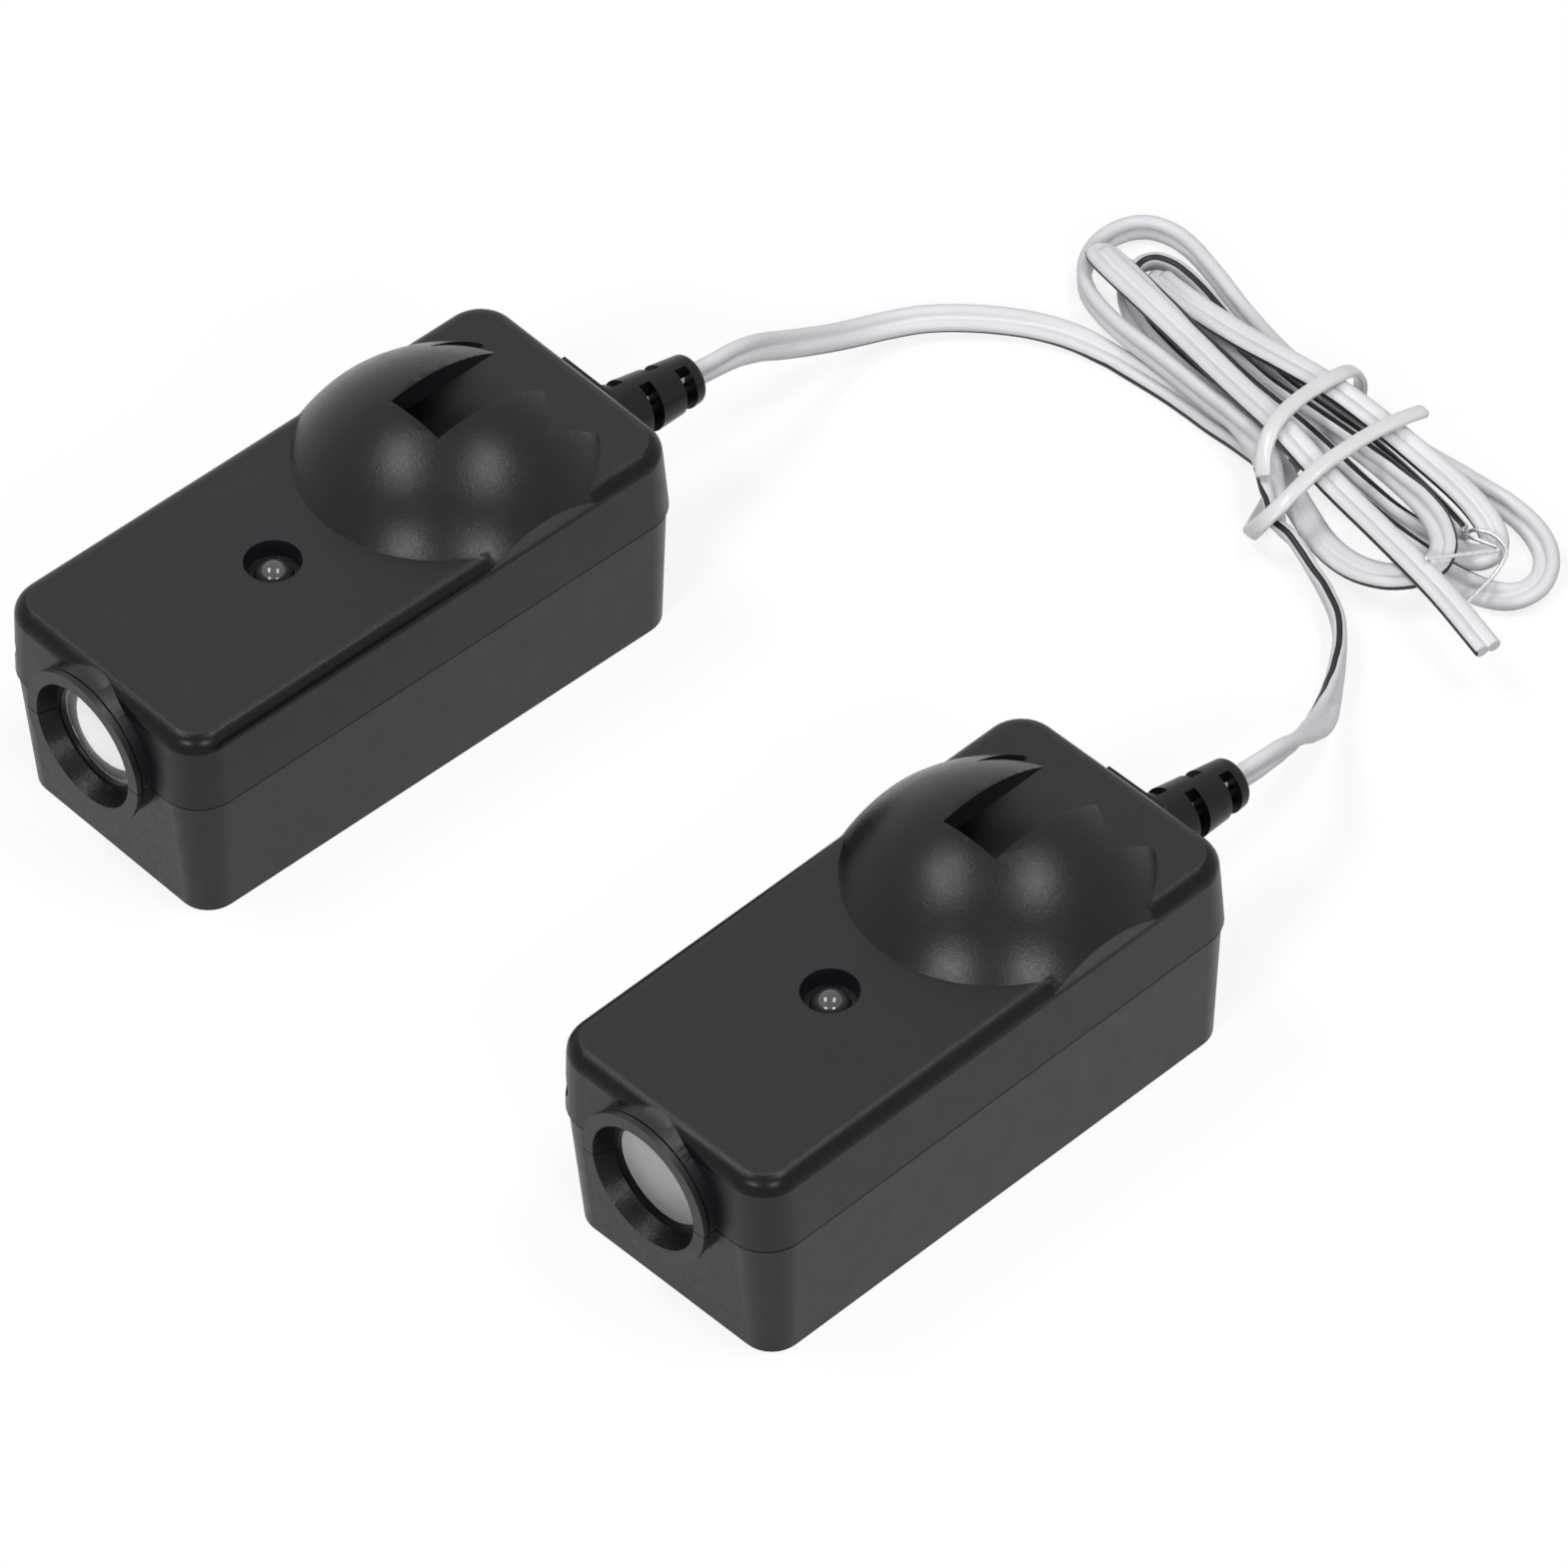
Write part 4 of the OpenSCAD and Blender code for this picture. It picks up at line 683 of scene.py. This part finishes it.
def inMouth(spot, facing):
    reach = math.hypot(spot.x, spot.z - housingSize["lensHeight"])
    front = -housingSize["length"] / 2
    onCollar = (facing.y < -housingBorders["collarFacing"]
                and spot.y < front - housingBorders["collarReach"])
    inside = reach < housingSize["mouth"] and spot.y < front + housingBorders["mouthDepth"]
    return inside and not onCollar


def inWindow(spot):
    out = spot - housingSize["window"]
    across = out.cross(windowAxis).length
    return out.dot(windowAxis) > 0 and across < housingBorders["windowRadius"]


def onDome(spot, facing):
    ray = spot - Vector((0, housingSize["domeY"], housingSize["domeCentreZ"]))
    return (facing.dot(ray.normalized()) > housingBorders["domeFacing"]
            and abs(ray.length - housingSize["domeRadius"]) < housingBorders["domeNear"])


# Faces of the cover's rounded edges, which get the painted dark band
def onRoundedEdge(spot, facing):
    recess = housingSize["ledRecess"] + housingBorders["recessNear"]
    lowest = housingSize["height"] - housingSize["edgeRadius"] - housingBorders["edgeNear"]
    least, most = housingBorders["edgeFacing"]
    return (spot.z > lowest and least < facing.z < most and spot.y > -housingSize["length"] / 2
            and math.hypot(spot.x, spot.y - housingSize["ledY"]) >= recess)


def coverFinish(spot, facing):
    # painted shadow on the cover's lowest band at the seam and on the catch window's walls
    atSeam = (spot.z < housingSize["split"] + housingSize["seam"]
              and abs(facing.z) < housingBorders["seamFacing"])
    inHole = inWindow(spot) and abs(facing.dot(windowAxis)) < housingBorders["windowFacing"]
    if atSeam or inHole:
        return coverFinishes["seam"]
    if inMouth(spot, facing):
        return coverFinishes["mouth"]
    if onDome(spot, facing):
        return coverFinishes["dome"]
    return coverFinishes["edge" if onRoundedEdge(spot, facing) else "flat"]


# Painted shade: the mouth is painted darker than the outside, and so is the prong's end in the
# window
def shellFinish(spot, facing):
    if inWindow(spot) and spot.z > housingSize["split"] + housingBorders["prongFoot"]:
        return shellFinishes["prong"]
    return shellFinishes["mouth" if inMouth(spot, facing) else "flat"]


# Pieces with two finishes: 1 is the second one
innerBorders = {
    "lampFoot": 22 * mm, "chipSide": 1.96 * mm, "chipFoot": 0.2 * mm, "resistorEnd": 3.11 * mm,
    "diodeBack": -20.05 * mm, "canTop": 6 * mm, "canFacing": 0.9, "transistorFoot": 1.59 * mm,
}


def lensFinish(spot, facing):
    reach = math.hypot(spot.x, spot.z - housingSize["lensHeight"])
    atRim = reach > housingBorders["lensRim"] or abs(facing.y) < housingBorders["lensFacing"]
    return 1 if atRim else 0


def lampWires(spot, facing):
    return 1 if spot.z < innerBorders["lampFoot"] else 0


def transistorLegs(spot, facing):
    return 1 if spot.z < housingSize["boardTop"] + innerBorders["transistorFoot"] else 0


def chipLegs(spot, facing):
    foot = housingSize["boardTop"] + innerBorders["chipFoot"]
    return 1 if abs(spot.x) > innerBorders["chipSide"] or spot.z < foot else 0


def resistorWires(spot, facing):
    return 1 if abs(spot.x) > innerBorders["resistorEnd"] else 0


def diodeLegs(spot, facing):
    return 1 if spot.y > innerBorders["diodeBack"] else 0


def canTop(spot, facing):
    top = housingSize["boardTop"] + innerBorders["canTop"]
    return 1 if spot.z > top and facing.z > innerBorders["canFacing"] else 0


for house, lensNames, diode, diodeFinish in (
        ("sender", ["clearLensPaintedWhite", "lensRim"], "emitter_diode", "emitterEpoxy"),
        ("receiver", ["lensGrey", "lensGrey"], "detector_diode", "detectorEpoxy")):
    dressed(house, "top_cover",
            ["satinBlack", "domeSmoothWithPaintedShade", "edgePaintedShade", "mouthPaintedShade", "paintedShadowBlack"],
            coverFinish, cutHeight=housingSize["split"] + housingSize["seam"])
    dressed(house, "bottom_shell", ["satinBlack", "mouthPaintedShade", "paintedShadowBlack"], shellFinish)
    dressed(house, "strain_relief", ["reliefBlack"], softEdge=0.2)
    dressed(house, "lens", lensNames, lensFinish, softEdge=0.15)
    dressed(house, "indicator_lamp", ["lampClear", "tinnedWire"], lampWires, softEdge=0)
    dressed(house, diode, [diodeFinish, "tinnedWire"], diodeLegs, softEdge=0)
    dressed(house, "circuit_board", ["boardGreen"], softEdge=0.08, segments=1)
    dressed(house, "control_chip", ["chipBlack", "tinnedWire"], chipLegs,
            softEdge=0.05, segments=1)
    dressed(house, "capacitor", ["sleeveBlue", "canAluminium"], canTop, softEdge=0.1)
    dressed(house, "transistor", ["chipBlack", "tinnedWire"], transistorLegs, softEdge=0.06)
    dressed(house, "resistors", ["resistorBeige", "tinnedWire"], resistorWires, softEdge=0.1)
    dressed(house, "inner_leads", ["whiteInsulation"], softEdge=0, sharpAngle=60)
    print(house, "dressed")
dressed("sender", "diode_holder", ["holderBlack"])
dressed("receiver", "detector_shield", ["shieldTin"], softEdge=0.15)


# Studio: pale floor that keeps a faint shadow, four soft boxes, pale surround

studio = {
    "floorSize": 6.0, "floorAlbedo": 0.25, "floorRoughness": 0.9, "floorGlow": 0.79,
    "floorDrop": 0.02 * mm, "surround": 0.15,
    "boxes": {
        "upperLeft": {"from": (-0.36, -0.25, 0.90), "size": (0.28, 0.62), "radiance": 10.0},
        "upperRight": {"from": (0.25, 0.25, 0.94), "size": (0.28, 0.62), "radiance": 10.0},
        "lowerLeft": {"from": (0.20, -0.79, 0.57), "size": (0.28, 0.33), "radiance": 17.0},
        "lowerRight": {"from": (0.77, -0.30, 0.57), "size": (0.28, 0.33), "radiance": 17.0},
    },
    "boxDistance": 1.35, "aimHeight": 20 * mm,
}


# 1 where the camera, a reflection or a clear piece sees the surface, else 0
def seenRays(tree):
    path = addNode(tree, "ShaderNodeLightPath")
    seen = path.outputs["Is Camera Ray"]
    for kind in ("Is Glossy Ray", "Is Transmission Ray"):
        seen = addNode(tree, "ShaderNodeMath", {0: seen, 1: path.outputs[kind]},
                       operation="MAXIMUM").outputs[0]
    return seen


def makeFloor():
    half = studio["floorSize"] / 2
    mesh = bpy.data.meshes.new("studioFloor")
    mesh.from_pydata([(-half, -half, 0), (half, -half, 0), (half, half, 0), (-half, half, 0)],
                     [], [(0, 1, 2, 3)])
    floor = bpy.data.objects.new("studioFloor", mesh)
    floor.location.z = -studio["floorDrop"]
    bpy.context.scene.collection.objects.link(floor)
    material = bpy.data.materials.new("floorPaper")
    material.use_nodes = True
    tree = material.node_tree
    shader = tree.nodes["Principled BSDF"]
    albedo = studio["floorAlbedo"]
    shader.inputs["Base Color"].default_value = (albedo, albedo, albedo, 1)
    shader.inputs["Roughness"].default_value = studio["floorRoughness"]
    shader.inputs["Specular IOR Level"].default_value = 0.0
    shader.inputs["Emission Color"].default_value = (1, 1, 1, 1)
    glow = addNode(tree, "ShaderNodeMath", {0: seenRays(tree), 1: studio["floorGlow"]},
                   operation="MULTIPLY")
    tree.links.new(glow.outputs[0], shader.inputs["Emission Strength"])
    mesh.materials.append(material)


def makeSurround():
    world = bpy.data.worlds.new("surround")
    world.use_nodes = True
    tree = world.node_tree
    background = tree.nodes["Background"]
    background.inputs["Color"].default_value = (1, 1, 1, 1)
    strength = addNode(tree, "ShaderNodeMapRange", {
        "Value": seenRays(tree), "To Min": studio["surround"], "To Max": 1.0})
    tree.links.new(strength.outputs[0], background.inputs["Strength"])
    bpy.context.scene.world = world


def makeSoftBoxes():
    centre = cameraView["target"] + Vector((0, 0, studio["aimHeight"]))
    sight = Vector((math.sin(cameraView["azimuth"]), -math.cos(cameraView["azimuth"]), 0))
    for name, box in studio["boxes"].items():
        away = Vector(box["from"]).normalized()
        light = bpy.data.lights.new(name, "AREA")
        light.shape = "RECTANGLE"
        light.size, light.size_y = box["size"]
        light.energy = box["radiance"] * math.pi * box["size"][0] * box["size"][1]
        holder = bpy.data.objects.new(name, light)
        side = sight.cross(away).normalized()
        holder.matrix_world = Matrix.Translation(centre + away * studio["boxDistance"]) @ Matrix(
            (side, away.cross(side), away)).transposed().to_4x4()
        bpy.context.scene.collection.objects.link(holder)


makeFloor()
makeSurround()
makeSoftBoxes()
bpy.context.scene.view_settings.view_transform = "Standard"
print("studio made")
